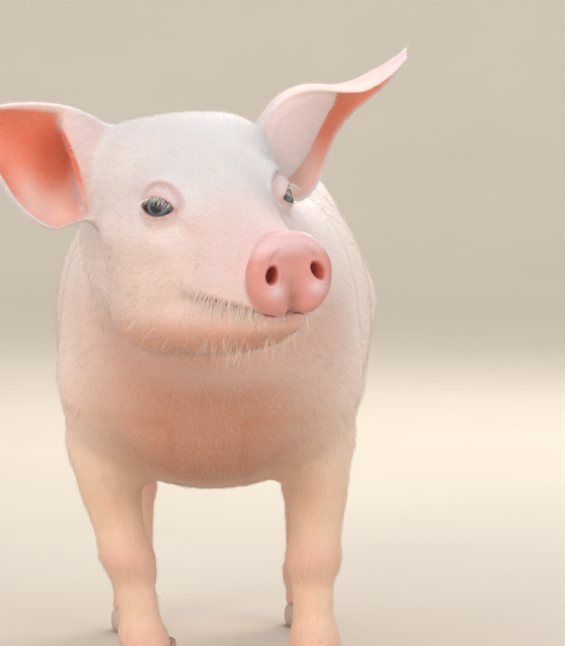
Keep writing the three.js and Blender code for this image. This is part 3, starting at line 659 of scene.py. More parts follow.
def skin_mesh():
    fine = 1.0
    xs = spaced((-150, 108, 1.05 * fine))
    front = ((-378, -190, 0.95 * fine), (-190, -150, 1.4 * fine))
    ys = spaced(*front, (-150, 188, 2.0 * fine), (188, 240, 1.2 * fine))
    zs = spaced((4, 44, 1.3 * fine), (44, 190, 1.9 * fine), (190, 388, 0.95 * fine))
    values = sampled(skin_field, xs, ys, zs, BAND)
    vertices, quads = surface_nets(values, (xs, ys, zs))
    return settled(skin_field, vertices, 2), quads


# ---- Colours ----
def linear(*srgb):
    """A colour in linear light from sRGB values of 0 to 255."""
    c = np.array(srgb, dtype=np.float32) / 255
    return np.where(c < 0.04045, c / 12.92, ((c + 0.055) / 1.055) ** 2.4)


TONES = {  # sRGB, with the photo's warm light from the straw partly in the lower ones
    "back": (237, 225, 220),
    "flank": (238, 221, 212),
    "belly": (226, 178, 158),
    # the chest: its own warmer skin under painted warm bounce light and painted shade
    "chest_bounce_and_shade": (184, 104, 50),
    "leg": (230, 196, 164),
    "joint": (220, 166, 144),
    "forehead": (214, 211, 211),
    "cheek": (230, 205, 196),
    # the jaw's underside: partly the skin's own warmer tone, partly painted warm bounce light
    "jaw": (212, 136, 86),
    "bridge": (220, 198, 194),
    "disc": (214, 150, 139),
    "disc_top": (230, 193, 193),
    # a painted highlight on the lobes under the nostrils, over their paler skin
    "lobe_highlight": (228, 202, 203),
    # the nostrils' own red skin, darkened with painted shade
    "nostril_shade": (190, 94, 80),
    "lip": (214, 160, 148),
    # painted shade for the mouth's line and the valley of the disc, and a brownish patch at the mouth's
    # corner
    "groove": (156, 104, 88),
    "lid": (216, 174, 168),
    # the lid's own mauve, darkened with painted shade in the creases round the eye
    "fold": (196, 144, 142),
    # painted shade along the edges of the lids
    "lid_edge_shade": (104, 74, 68),
    "corner": (206, 142, 130),
    # the inner ear's own pink, brightened and deepened as a painted glow of light shining through the ear
    "coral_glow": (238, 140, 106),
    "deep_coral_glow": (226, 106, 68),
    "ear_lobe": (242, 206, 192),
    "ear_back": (241, 216, 209),
    "rim": (248, 232, 227),
    "tip": (238, 220, 223),
    "hair": (252, 244, 238),
    "bristle": (250, 240, 228),
    "lash": (250, 244, 234),
}
TONES = {name: linear(*rgb) for name, rgb in TONES.items()}


def painted(colour, *layers):
    """The colour under layers of (tone, share), each over the ones before it."""
    for tone, share in layers:
        colour = colour + (TONES[tone] - colour) * share[:, None]
    return colour


def body_tints(p):
    x, y, z = p
    wide = np.abs(x)
    colour = np.tile(TONES["back"], (len(x), 1)).astype(np.float32)
    # where warm bounce light and shade are painted on the front of the chest
    bounce_and_shade_mask = step(262, 215, z) * step(90, 140, z) * step(-95, -165, y) * step(100, 20, wide)
    colour = painted(
        colour,
        ("flank", step(290, 225, z)),
        ("leg", step(150, 110, z)),
        ("belly", 0.8 * step(180, 125, z) * step(70, 30, wide) * step(-150, -90, y)),
        ("leg", 0.6 * step(225, 125, z) * step(-60, -120, y)),
        ("chest_bounce_and_shade", 0.8 * bounce_and_shade_mask),
    )
    for height, reach in ((79, 12), (33, 9)):  # knees and front fetlocks
        colour = painted(colour, ("joint", 0.55 * bump(z - height, reach) * step(-40, -70, y)))
    for height, reach in ((106, 14), (33, 9)):  # hocks and hind fetlocks
        share = 0.55 * bump(z - height, reach) * step(90, 120, y) * step(20, 34, wide)
        colour = painted(colour, ("joint", share))
    return painted(colour, ("joint", 0.8 * step(26, 14, z)))


def head_tints(colour, head):
    """The head's colours, and how far each point is on the bare disc."""
    x, y, z = head
    forward, wide = -y, np.abs(x)
    on_head = step(-28, 42, forward) * step(-62, -36, z)
    above, up = z - mouth_height(forward), z - SNOUT["centre"]
    span = step(94, 114, forward)
    before_disc = behind_disc(34, 14, forward)
    on_disc = behind_disc(17, 8, forward) * step(-1, 1, above)
    lobes = bump(np.hypot((wide - 12) / 5.2, (up + 8) / 3.8), 1)
    corner = bump(np.hypot((forward - 103) / 6, above / 3.5), 1)
    shut = behind_disc(4, 9, forward)
    in_nostril = step(1.6, -0.4, nostril_holes(head)) * behind_disc(24, 14, forward)
    colour = painted(
        colour,
        ("forehead", on_head),
        ("cheek", on_head * step(58, 14, z)),
        # painted warm bounce light under the jaw, over its own warmer tone
        ("jaw", 0.85 * on_head * step(4, -22, z)),
        ("bridge", step(88, 118, forward) * step(4, 14, z)),
        ("lip", 0.75 * bump(above, 3.4) * span),
        ("disc_top", 0.7 * before_disc * step(10, 18, z)),
        ("disc", on_disc),
        ("disc_top", on_disc * step(6, 14, up)),
        # painted highlight on the lobes under the nostrils
        ("lobe_highlight", 0.85 * on_disc * lobes),
        # painted shade in the valley between the disc's lobes
        ("groove", 0.35 * on_disc * bump(x, 4) * step(1, -9, up)),
        # a brownish patch at the mouth's corner, in the same tone
        ("groove", 0.35 * corner),
        # painted shade along the mouth's line
        ("groove", 0.5 * bump(above, 1.0) * span * shut),
        # painted shade inside the nostrils
        ("nostril_shade", in_nostril),
    )
    return colour, on_disc


def eye_tints(colour, head, side):
    """The colours round one eye, and how far each point is on its bare rims."""
    across, up, outward = eye_frame(head, side)
    front = step(0, 6, outward) * step(26, 18, np.sqrt(across**2 + up**2 + outward**2))
    radial = np.hypot(across, up)
    opening = eye_opening(across, up)
    trough = bump(up + 4 - 0.3 * (across + 10), 4.5) * step(-7, -14, across) * step(-40, -20, across)
    near = step(-12, 2, outward) * step(45, 30, np.abs(outward))
    colour = painted(
        colour,
        ("lid", 0.5 * trough * near),
        ("lid", 0.7 * step(13, 6, radial) * front),
        # painted shade in the creases above and below the eye, over the lid's mauve
        ("fold", 0.85 * bump(radial - 11.8, 1.7) * step(-4, 5, up) * front),
        ("fold", 0.2 * bump(radial - 11.5, 1.6) * step(-1, -7, up) * front),
        # painted shade where the lids meet the eye
        ("lid_edge_shade", 0.85 * step(1.3, 0.2, opening) * front),
        ("corner", 0.8 * bump(np.hypot(across + OPENING["half_width"], up), 1.7) * front),
    )
    return colour, step(3.5, 1, opening) * front


def ear_tints(colour, head, side):
    """The colours of one ear, and how far each point is inside it."""
    share, back, up = to_ear(head, side)
    v, upper, lower, middle, slope, half = ear_sheet(share, up, side)
    flat = (back - middle) / np.sqrt(1 + slope**2)
    along = share * EAR_LENGTH
    wall, cup = ear_wall(along, back, up, upper, side), ear_cup(along, back, up, side)
    near = step(5, 2, np.maximum(up - upper, -lower - up)) * step(1.08, 1.03, share)
    bulge = ear_bulge(along, back, up, upper, side)
    within = step(-0.3, -3, bulge) * step(4, 2, cup) * step(-0.1, 0, share)
    on_sheet = step(2.2, 0.9, np.abs(flat) - half) * near
    open_side = step(0.4, -0.4, flat)
    lined = on_sheet * step(0.3, 4.5, wall) * step(0.04, 0.14, share)
    inside = np.maximum(lined, within * near) * open_side * step(0.02, 0.085, v) * step(1, 0.93, v)
    outside = on_sheet * (1 - open_side) * step(0.05, 0.3, share)
    in_cup = bump(np.maximum(cup, 0), 4) * near * open_side
    colour = painted(
        colour,
        ("ear_back", outside),
        ("lid", 0.5 * step(2.5, 0.5, wall) * near * open_side * step(-0.15, 0.05, share)),
        # the inner ear: its own pink under a painted glow of light shining through it
        ("coral_glow", 0.2 * in_cup * step(0.05, 0.15, share)),
        ("rim", 0.8 * on_sheet * step(0.2, 0.35, share) * step(0.09, 0.03, v)),
        ("coral_glow", 0.95 * inside * step(1.02, 0.8, share)),
        ("deep_coral_glow", 0.7 * inside * bump(v - 0.3, 0.2) * step(0.85, 0.5, share)),
        ("ear_lobe", inside * step(0.5, 0.82, v) * step(0.52, 0.32, share)),
        ("tip", outside * step(0.7, 0.95, share)),
    )
    return colour, inside


def skin_tints(points):
    """Rows of red, green, blue and bareness for the skin at points of the pig's frame."""
    p = list(points.T)
    colour = body_tints(p)
    bare = np.zeros(len(points), dtype=np.float32)
    head = to_head(p)
    ahead = head[1] < 30
    q = at_rows(ahead, head)
    tinted, bared = head_tints(colour[ahead], q)
    for side in (1, -1):
        tinted, ring = eye_tints(tinted, q, side)
        where = (q[0] * side > 20) & (q[1] > -90) & (q[2] > 10)
        ear_colour, inner = ear_tints(tinted[where], at_rows(where, q), side)
        tinted[where] = ear_colour
        bared = np.maximum(bared, ring)
        bared[where] = np.maximum(bared[where], 0.5 * inner)
    colour[ahead], bare[ahead] = tinted, bared
    return np.concatenate([np.clip(colour, 0, 1), bare[:, None]], axis=1).astype(np.float32)


# ---- Regions of the coat ----
def rest_of_head(vectors):
    """Directions of the head's frame, in the pig's."""
    return vectors @ HEAD_TURNED.T


COATS = {  # piece: (hairs, their length in mm, their radius, their steepest rise in degrees)
    "trunk_left": (21000, 8.0, 0.08, 22),
    "trunk_right": (21000, 8.0, 0.08, 22),
    "neck": (10500, 7.0, 0.075, 22),
    "face_left": (16000, 5.5, 0.065, 30),
    "face_right": (16000, 5.5, 0.065, 30),
    "ear_left": (6500, 4.5, 0.06, 30),
    "ear_right": (6500, 4.5, 0.06, 30),
    "legs_front": (9500, 6.0, 0.075, 30),
    "legs_hind": (10500, 6.5, 0.075, 30),
    "tail": (700, 6.0, 0.07, 30),
}
COAT_ROWS = {name: row for row, name in enumerate(COATS)}
# The frame of each coat's lie: the trunk's, the face's, either ear's, or that of the legs and the tail
FUR_FRAMES = np.array([0, 0, 0, 1, 1, 2, 3, 4, 4, 4])
SIDES = {"left": 1, "right": -1}


def in_coats(region, *names):
    return np.isin(region, [COAT_ROWS[name] for name in names])


def region_of(p):
    """The row in COATS of the piece that covers each point of the skin."""
    x, y, z = p
    head = to_head(p)
    region = np.where(x > 0, COAT_ROWS["trunk_left"], COAT_ROWS["trunk_right"])
    region[y < -160] = COAT_ROWS["neck"]
    region[(y < -40) & (z < 165) & (np.abs(x) > 20)] = COAT_ROWS["legs_front"]
    region[(y > 60) & (z < 160) & (np.abs(x) > 20)] = COAT_ROWS["legs_hind"]
    on_head = head[1] < -24
    region[on_head & (head[0] > 0)] = COAT_ROWS["face_left"]
    region[on_head & (head[0] <= 0)] = COAT_ROWS["face_right"]
    for name, side in SIDES.items():
        where = np.nonzero((head[0] * side > 20) & (head[1] > -80) & (head[1] < 60) & (head[2] > 10))[0]
        q = at_rows(where, head)
        share, _, _ = to_ear(q, side)
        region[where[(np.abs(ear(q, side)) < 1.5) & (share > 0.14)]] = COAT_ROWS["ear_" + name]
    rear = np.nonzero(y > 186)[0]
    region[rear[tail(at_rows(rear, p)) < 1.5]] = COAT_ROWS["tail"]
    return region


def lie_of(points, region):
    """Which way the hair lies at points of the skin, before it is laid along the skin."""
    x, _, z = points.T
    lie = columns(0 * x, 1 + 0 * x, -0.5 * np.abs(x) / 90)
    head = columns(*to_head(list(points.T)))
    cheek = step(50, 10, head[:, 2])
    backward = columns(0.25 * np.sign(head[:, 0]), 1 + 0 * x, 0.1 - 0.5 * cheek)
    faces = in_coats(region, "face_left", "face_right")
    lie[faces] = rest_of_head(backward[faces])
    for name, side in SIDES.items():
        along = ear_axes(side)[:, 0] * (side, 1, 1)
        lie[in_coats(region, "ear_" + name)] = rest_of_head(along)
    limbs = in_coats(region, "legs_front", "legs_hind", "tail")
    down = step(175, 130, z[limbs])[:, None]
    lie[limbs] = lie[limbs] * (1 - down) + np.array([0, 0.3, -1]) * down
    return lie


def fur_coordinates(points, region):
    """Millimetres along the hair's lie and across it, for the skin's fine relief."""
    head = columns(*to_head(list(points.T)))
    fur = points[:, [1, 0, 2]]
    faces = in_coats(region, "face_left", "face_right")
    fur[faces] = head[faces][:, [1, 0, 2]]
    for name, side in SIDES.items():
        where = in_coats(region, "ear_" + name)
        share, back, up = to_ear(list(head[where].T), side)
        fur[where] = columns(share * EAR_LENGTH, up, back)
    limbs = in_coats(region, "legs_front", "legs_hind", "tail")
    fur[limbs] = points[limbs][:, [2, 0, 1]]
    return fur


def nap(bare, region, quads):
    """How much the skin shows its hair: none where it is bare or where the hair's coordinates change."""
    corners = FUR_FRAMES[region][quads]
    whole = np.ones(len(region), dtype=np.float32)
    whole[quads[corners.min(axis=1) != corners.max(axis=1)]] = 0
    count = np.bincount(quads.ravel(), minlength=len(region))
    for _ in range(6):
        shared = np.repeat(whole[quads].mean(axis=1), 4)
        whole = np.bincount(quads.ravel(), weights=shared, minlength=len(region)) / np.maximum(count, 1)
    return (1 - bare) * whole**2


def around(across, up):
    return 0.5 + np.arctan2(across, up) / (2 * math.pi)


def unwrapped(points, name):
    """Where points of one region lie on an unwrap of its own shape, from 0 to 1 each way."""
    x, y, z = points.T
    head = to_head([x, y, z])
    if name.startswith("face"):
        u, v = around(head[0], head[2] - 25), -head[1] / 165
    elif name.startswith("ear"):
        side = SIDES[name.removeprefix("ear_")]
        share, back, up = to_ear(head, side)
        across, _, _, middle, _, _ = ear_sheet(share, up, side)
        u, v = 0.5 * across + np.where(back > middle, 0.5, 0), share
    elif name.startswith("legs"):
        middle = -114 if name == "legs_front" else 158
        turn = around(np.abs(x) - 56, y - middle)
        u, v = 0.5 * turn + np.where(x > 0, 0.5, 0), z / 175
    elif name == "tail":
        line, _ = tail_line()
        nearest = np.argmin(np.linalg.norm(points[:, None, :] - line[None], axis=2), axis=1)
        u, v = around(x - line[nearest, 0], z - line[nearest, 2]), nearest / (TAIL_POINTS - 1)
    else:
        u, v = around(x, z - 210), (y + 260) / 480
    return np.clip(columns(u, v), 0.002, 0.998)


# ---- Into Blender ----
# The pig frame's origin in the row frame, in metres, from the left eye's own place
SPINE = np.mean(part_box("eye_left"), axis=0) - np.array(from_head([np.float32(v) for v in EYE_AT])) * MM


def in_scene(name, data):
    made = bpy.data.objects.new(name, data)
    bpy.context.scene.collection.objects.link(made)
    return made


def mesh_object(name, vertices, faces):
    """A smooth object from vertices in the pig's frame and faces of one size."""
    mesh = bpy.data.meshes.new(name)
    placed = vertices * MM + SPINE
    corners = faces.shape[1]
    mesh.vertices.add(len(placed))
    mesh.vertices.foreach_set("co", placed.astype(np.float32).ravel())
    mesh.loops.add(faces.size)
    mesh.loops.foreach_set("vertex_index", faces.astype(np.int32).ravel())
    mesh.polygons.add(len(faces))
    mesh.polygons.foreach_set("loop_start", np.arange(0, faces.size, corners, dtype=np.int32))
    mesh.polygons.foreach_set("use_smooth", np.ones(len(faces), dtype=bool))
    mesh.update(calc_edges=True)
    return in_scene(name, mesh)


def give(piece, name, kind, rows):
    """An attribute of the piece's points."""
    value = {"FLOAT": "value", "FLOAT_VECTOR": "vector", "FLOAT_COLOR": "color"}[kind]
    attribute = piece.data.attributes.new(name, kind, "POINT")
    attribute.data.foreach_set(value, rows.astype(np.float32).ravel())


def give_uv(piece, rows):
    """The bake's UV map, from one place for each vertex."""
    corners = np.empty(len(piece.data.loops), dtype=np.int32)
    piece.data.loops.foreach_get("vertex_index", corners)
    layer = piece.data.uv_layers.new(name="OFBake")
    layer.data.foreach_set("uv", rows[corners].astype(np.float32).ravel())


def dress(piece, material, slot, *nodes):
    """The piece in its material, riding on the root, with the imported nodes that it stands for."""
    piece.data.materials.append(material)
    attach(piece, "root")
    if nodes:
        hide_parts(*nodes)


# ---- Materials ----
def add_node(tree, kind, inputs=None, **settings):
    """A shader node with its inputs linked or set."""
    made = tree.nodes.new("ShaderNode" + kind)
    for key, value in settings.items():
        setattr(made, key, value)
    for socket, value in (inputs or {}).items():
        if isinstance(value, bpy.types.NodeSocket):
            tree.links.new(value, made.inputs[socket])
        else:
            made.inputs[socket].default_value = value
    return made


def principled(name, **sockets):
    material = bpy.data.materials.new(name)
    material.use_nodes = True
    shader = material.node_tree.nodes["Principled BSDF"]
    for socket, value in sockets.items():
        shader.inputs[socket.replace("_", " ")].default_value = value
    return material, material.node_tree


def shaded(material, **outputs):
    """The material with the outputs of its nodes linked to its shader."""
    tree = material.node_tree
    for socket, output in outputs.items():
        tree.links.new(output, tree.nodes["Principled BSDF"].inputs[socket.replace("_", " ")])
    return material


def attribute(tree, name, output):
    return add_node(tree, "Attribute", attribute_name=name).outputs[output]


def own_place(tree):
    return add_node(tree, "TexCoord").outputs["Object"]


def maths(tree, operation, a, b=0.0):
    return add_node(tree, "Math", {0: a, 1: b}, operation=operation).outputs[0]


def noise(tree, where, scale, detail=3.0, roughness=0.55):
    inputs = {"Vector": where, "Scale": scale, "Detail": detail, "Roughness": roughness}
    return add_node(tree, "TexNoise", inputs).outputs["Fac"]


def stretched(tree, where, scale):
    return add_node(tree, "Mapping", {"Vector": where, "Scale": scale}).outputs[0]


def ranged(tree, value, low, high, out_low, out_high):
    inputs = {"Value": value, "From Min": low, "From Max": high, "To Min": out_low, "To Max": out_high}
    return add_node(tree, "MapRange", inputs).outputs[0]


def mixed(tree, share, a, b, blend="MIX"):
    inputs = {0: share, 6: a, 7: b}
    return add_node(tree, "Mix", inputs, data_type="RGBA", blend_type=blend).outputs[2]


def relief(tree, height, distance, before=None):
    inputs = {"Height": height, "Distance": distance}
    if before is not None:
        inputs["Normal"] = before
    return add_node(tree, "Bump", inputs).outputs[0]


def skin_material():
    subsurface = {"Subsurface_Weight": 0.2, "Subsurface_Radius": (1.0, 0.45, 0.3), "Subsurface_Scale": 0.004}
    material, tree = principled("skin", **subsurface)
    tint, bare = attribute(tree, "tint", "Color"), attribute(tree, "tint", "Alpha")
    fur, haired = attribute(tree, "fur", "Vector"), attribute(tree, "nap", "Fac")
    place = own_place(tree)
    patches = ranged(tree, noise(tree, place, 24.0, 4.0), 0.35, 0.7, 0.0, 0.16)
    speckle = ranged(tree, noise(tree, place, 480.0), 0.35, 0.75, 0.0, 1.0)
    streaks = noise(tree, stretched(tree, fur, (0.16, 0.95, 0.95)), 1.0, 3.0, 0.6)
    flushed = mixed(tree, patches, tint, (0.97, 0.76, 0.72, 1), "MULTIPLY")
    mottled = mixed(tree, maths(tree, "MULTIPLY", speckle, 0.08), flushed, (0.92, 0.72, 0.68, 1), "MULTIPLY")
    streaked = maths(tree, "MULTIPLY", ranged(tree, streaks, 0.35, 0.7, 0.0, 0.16), haired)
    colour = mixed(tree, streaked, mottled, (0.95, 0.93, 0.92, 1))
    smooth = maths(tree, "MULTIPLY", bare, -0.14)
    rough = maths(tree, "ADD", ranged(tree, speckle, 0.0, 1.0, 0.50, 0.58), smooth)
    leather = noise(tree, place, 560.0, 4.0, 0.7)
    normal = relief(tree, maths(tree, "MULTIPLY", streaks, haired), 0.00016)
    normal = relief(tree, maths(tree, "MULTIPLY", leather, bare), 0.0005, normal)
    normal = relief(tree, noise(tree, place, 1100.0, 2.0), 0.0001, normal)
    return shaded(material, Base_Color=colour, Roughness=rough, Normal=normal)


def hair_material():
    material, tree = principled("bristle", Roughness=0.45, Specular_IOR_Level=0.3)
    varied = ranged(tree, noise(tree, own_place(tree), 260.0, 2.0), 0.3, 0.7, 0.0, 0.3)
    colour = mixed(tree, varied, attribute(tree, "tint", "Color"), (0.95, 0.86, 0.80, 1), "MULTIPLY")
    return shaded(material, Base_Color=colour)


EYE_COLOURS = [  # (share of the eye's radius, colour) from the pupil through the iris to the white
    (0.0, (0.002, 0.002, 0.003)),
    (0.25, (0.003, 0.003, 0.004)),
    (0.29, (0.04, 0.045, 0.055)),
    (0.40, (0.15, 0.175, 0.21)),
    (0.53, (0.09, 0.105, 0.13)),
    (0.615, (0.012, 0.012, 0.014)),
    (0.67, (0.14, 0.10, 0.09)),
    (0.80, (0.44, 0.34, 0.30)),
]


def colour_ramp(tree, share, stops):
    made = add_node(tree, "ValToRGB", {"Fac": share})
    elements = made.color_ramp.elements
    while len(elements) < len(stops):
        elements.new(0.5)
    for element, (place, colour) in zip(elements, stops):
        element.position, element.color = place, (*colour, 1)
    return made.outputs[0]


def eye_material():
    gloss = {"Specular_IOR_Level": 0.2, "Coat_Weight": 1.0, "Coat_Roughness": 0.02, "Coat_IOR": 1.5}
    material, tree = principled("eye", Roughness=0.3, **gloss)
    x, y, _ = add_node(tree, "SeparateXYZ", {0: attribute(tree, "eye_local", "Vector")}).outputs
    squared = maths(tree, "ADD", maths(tree, "MULTIPLY", x, x), maths(tree, "MULTIPLY", y, y))
    radial = maths(tree, "SQRT", squared)
    turns = maths(tree, "MULTIPLY", maths(tree, "ARCTAN2", y, x), 7.0)
    spokes = add_node(tree, "CombineXYZ", {0: turns, 1: maths(tree, "MULTIPLY", radial, 0.35)})
    fibres = noise(tree, spokes.outputs[0], 2.4, 4.0, 0.7)
    ragged = maths(tree, "ADD", radial, ranged(tree, fibres, 0.2, 0.8, -0.35, 0.35))
    iris = colour_ramp(tree, maths(tree, "DIVIDE", ragged, EYE_RADIUS), EYE_COLOURS)
    on_iris = ranged(tree, radial, 2.2, 6.2, 1.0, 0.3)
    light = maths(tree, "MULTIPLY", ranged(tree, fibres, 0.35, 0.7, 0.0, 0.8), on_iris)
    colour = mixed(tree, light, iris, (1.5, 1.5, 1.5, 1), "MULTIPLY")
    return shaded(material, Base_Color=colour, Normal=relief(tree, fibres, 0.00008))


def horn_material():
    subsurface = {"Subsurface_Weight": 0.1, "Subsurface_Radius": (1.0, 0.5, 0.3), "Subsurface_Scale": 0.002}
    material, tree = principled("horn", **subsurface)
    grain = attribute(tree, "grain", "Vector")
    height = add_node(tree, "SeparateXYZ", {0: grain}).outputs[2]
    bands = noise(tree, stretched(tree, grain, (0.12, 0.12, 1.5)), 1.0, 3.0, 0.6)
    threads = noise(tree, stretched(tree, grain, (2.2, 2.2, 0.12)), 1.0, 3.0, 0.6)
    banded = ranged(tree, bands, 0.35, 0.7, 0.0, 1.0)
    pale = mixed(tree, banded, (0.57, 0.43, 0.34, 1), (0.64, 0.50, 0.40, 1))
    worn = mixed(tree, ranged(tree, height, 8.0, 0.0, 0.0, 0.6), pale, (0.33, 0.24, 0.18, 1))
    lined = mixed(tree, ranged(tree, threads, 0.4, 0.75, 0.0, 0.22), worn, (0.42, 0.28, 0.21, 1))
    rough = ranged(tree, threads, 0.3, 0.7, 0.34, 0.52)
    normal = relief(tree, threads, 0.0002, relief(tree, bands, 0.00025))
    return shaded(material, Base_Color=lined, Roughness=rough, Normal=normal)


# ---- Skin ----
def make_skin():
    vertices, quads = skin_mesh()
    skin = mesh_object("skin", vertices, quads)
    tints, region = skin_tints(vertices), region_of(list(vertices.T))
    give(skin, "tint", "FLOAT_COLOR", tints)
    give(skin, "fur", "FLOAT_VECTOR", fur_coordinates(vertices, region))
    give(skin, "nap", "FLOAT", nap(tints[:, 3], region, quads))
    nodes = ["head", "snout", "lower_jaw", "neck", "torso", "tail", "ear_left", "ear_right"]
    dress(skin, skin_material(), "skin", *nodes, *["leg_" + name for name in LEGS])
    return vertices, quads


# ---- Closed forms through rings ----
def closed_tube(rings):
    """Vertices and triangles of a tube through rings of points, closed by a fan at each end."""
    count, sides = rings.shape[:2]
    ends = [rings[0].mean(axis=0), rings[-1].mean(axis=0)]
    vertices = np.concatenate([rings.reshape(-1, 3), ends])
    ring, spoke = (v.ravel() for v in np.meshgrid(np.arange(count - 1), np.arange(sides), indexing="ij"))
    a, b = ring * sides + spoke, ring * sides + (spoke + 1) % sides
    walls = [columns(a, b, b + sides), columns(a, b + sides, a + sides)]
    s = np.arange(sides)
    after, last = (s + 1) % sides, (count - 1) * sides
    first_fan = columns(after, s, np.full(sides, count * sides))
    last_fan = columns(last + s, last + after, np.full(sides, count * sides + 1))
    faces = np.concatenate([*walls, first_fan, last_fan])
    a, b, c = (vertices[faces[:, n]] for n in range(3))
    inside_out = (a * np.cross(b, c)).sum() < 0
    return vertices, faces[:, ::-1] if inside_out else faces


# ---- Eyes and lashes ----
EYE_AXES = columns(*(eye_frame(np.array(EYE_AT) + axis, 1) for axis in np.eye(3)))
CORNEA = {"angle": 38, "height": 0.8}
EYE_RINGS, EYE_SIDES, POLE = 72, 96, 0.004  # the last in radians, from a pole to its first ring


def from_eye(local, side):
    """Points round an eye (towards the temple, up, outward), in the pig's frame."""
    head = (local @ EYE_AXES + np.array(EYE_AT)) * (side, 1, 1)
    return columns(*from_head(list(head.T)))


def make_eye(name, side, material):
    polar = np.linspace(POLE, math.pi - POLE, EYE_RINGS)
    dome = np.clip(1 - (np.degrees(polar) / CORNEA["angle"]) ** 2, 0, 1) ** 1.5
    radius = EYE_RADIUS + CORNEA["height"] * dome
    spin = np.linspace(0, 2 * math.pi, EYE_SIDES, endpoint=False)
    wide, out = (radius * np.sin(polar))[:, None], (radius * np.cos(polar))[:, None]
    rings = np.stack([wide * np.cos(spin), wide * np.sin(spin), out + 0 * spin], axis=2)
    local, faces = closed_tube(rings)
    placed = from_eye(local, side)
    eye = mesh_object(name, placed, faces if side > 0 else faces[:, ::-1])
    give(eye, "eye_local", "FLOAT_VECTOR", local)
    dress(eye, material, "eye", name)


# ---- Hair ----
def strand_faces(rings):
    """The triangles of one three-sided hair, whose last vertex is its tip."""
    faces = []
    for ring in range(rings - 1):
        for k in range(3):
            a, b = 3 * ring + k, 3 * ring + (k + 1) % 3
            faces += [[a, b, b + 3], [a, b + 3, a + 3]]
    top = 3 * (rings - 1)
    faces += [[top + k, top + (k + 1) % 3, 3 * rings] for k in range(3)]
    return np.array(faces)


def strands(roots, first, last, length, radius, rings):
    """Rows of vertices of tapered hairs, each bending from its first direction to its last."""
    t = np.arange(rings + 1) / rings
    bend = t**2 / 2
    reach = first[:, None] * (t - bend)[None, :, None] + last[:, None] * bend[None, :, None]
    line = roots[:, None] + reach * length[:, None, None]
    side = unit(np.cross(first, last + 1e-3 * np.array([0.3, 0.5, 0.8])))
    other = np.cross(first, side)
    spin = np.arange(3) * 2 * math.pi / 3
    spokes = side[:, None] * np.cos(spin)[None, :, None] + other[:, None] * np.sin(spin)[None, :, None]
    thick = radius[:, None] * (1 - 0.75 * t[:-1] ** 1.5)[None]
    walls = line[:, :-1, None] + spokes[:, None] * thick[:, :, None, None]
    return np.concatenate([walls.reshape(len(roots), -1, 3), line[:, -1:]], axis=1)


PATCH = 0.003  # of each hair on the bake's map


def make_hairs(name, region, material, colour, *hairs):
    """A piece of hairs: their roots, first and last directions, lengths, radii and rings."""
    roots, rings = hairs[0], hairs[-1]
    rows = strands(*hairs)
    count, each = rows.shape[:2]
    faces = strand_faces(rings)[None] + each * np.arange(count)[:, None, None]
    piece = mesh_object(name, rows.reshape(-1, 3), faces.reshape(-1, 3))
    piece.visible_shadow = not name.startswith("coat")  # too fine and pale to shade the skin
    share = np.append(np.repeat(np.arange(rings) / rings, 3), 1.0)
    corner = np.append(np.tile(np.arange(3), rings), 1)
    patch = columns(corner / 2 - 0.5, share - 0.5) * PATCH
    give_uv(piece, (unwrapped(roots, region)[:, None] + patch).reshape(-1, 2))
    tint = np.concatenate([colour, np.ones((count, 1))], axis=1)
    give(piece, "tint", "FLOAT_COLOR", np.repeat(tint, each, axis=0))
    dress(piece, material, "skin")


class Ground:
    """The skin as ground for hair: its quads, with their areas, normals, regions and colours."""

    def __init__(self, vertices, quads):
        a, b, c, d = (vertices[quads[:, n]] for n in range(4))
        self.corners = columns(a, b, c, d)
        across = np.cross(c - a, d - b)
        self.normals = unit(across)
        self.area = np.linalg.norm(across, axis=1) / 2
        middle = self.corners.mean(axis=1)
        self.region = region_of(list(middle.T))
        self.tints = skin_tints(middle)
        self.head = columns(*to_head(list(middle.T)))

    def scatter(self, density, count, rng):
        """Places for hairs, as rows of the ground's faces and points on them."""
        weight = np.cumsum(self.area * density)
        rows = np.searchsorted(weight, rng.random(count) * weight[-1])
        u, v = rng.random((2, count, 1))
        a, b, c, d = (self.corners[rows, n] for n in range(4))
        return rows, (a * (1 - u) + b * u) * (1 - v) + (d * (1 - u) + c * u) * v


def laid(normals, lie, swing, lift):
    """Directions along the skin, swung to the side and lifted from it by angles in radians."""
    along = unit(lie - normals * (lie * normals).sum(axis=1, keepdims=True))
    turned = along * np.cos(swing)[:, None] + np.cross(normals, along) * np.sin(swing)[:, None]
    return turned * np.cos(lift)[:, None] + normals * np.sin(lift)[:, None]


SEEDS = {"coat": 7, "bristles": 11, "lashes": 5}
ROOT_DEPTH = 0.3
SWING = 11  # degrees, the usual swing of a hair from the coat's lie
WHITE_SHARE = 0.55  # of white in a hair, over the skin's tint
BRISTLES = 900
LASHES = [(1, "upper", 70, 8.5), (-1, "lower", 24, 3.0)]  # (up or down, lid, how many, their length)


def coat_lengths(name, long, ground, rows, roots):
    """The lengths of a coat's hairs, longer on the cheek and shorter on the snout and the feet."""
    forward, height = -ground.head[rows, 1], ground.head[rows, 2]
    if name.startswith("face"):
        cheek = step(78, 40, forward) * step(45, 15, height)
        long *= (1 + 0.5 * cheek) * (1 - 0.45 * step(105, 140, forward))
    if name.startswith("legs"):
        long *= 1 - 0.35 * step(60, 25, roots[:, 2])
    return long


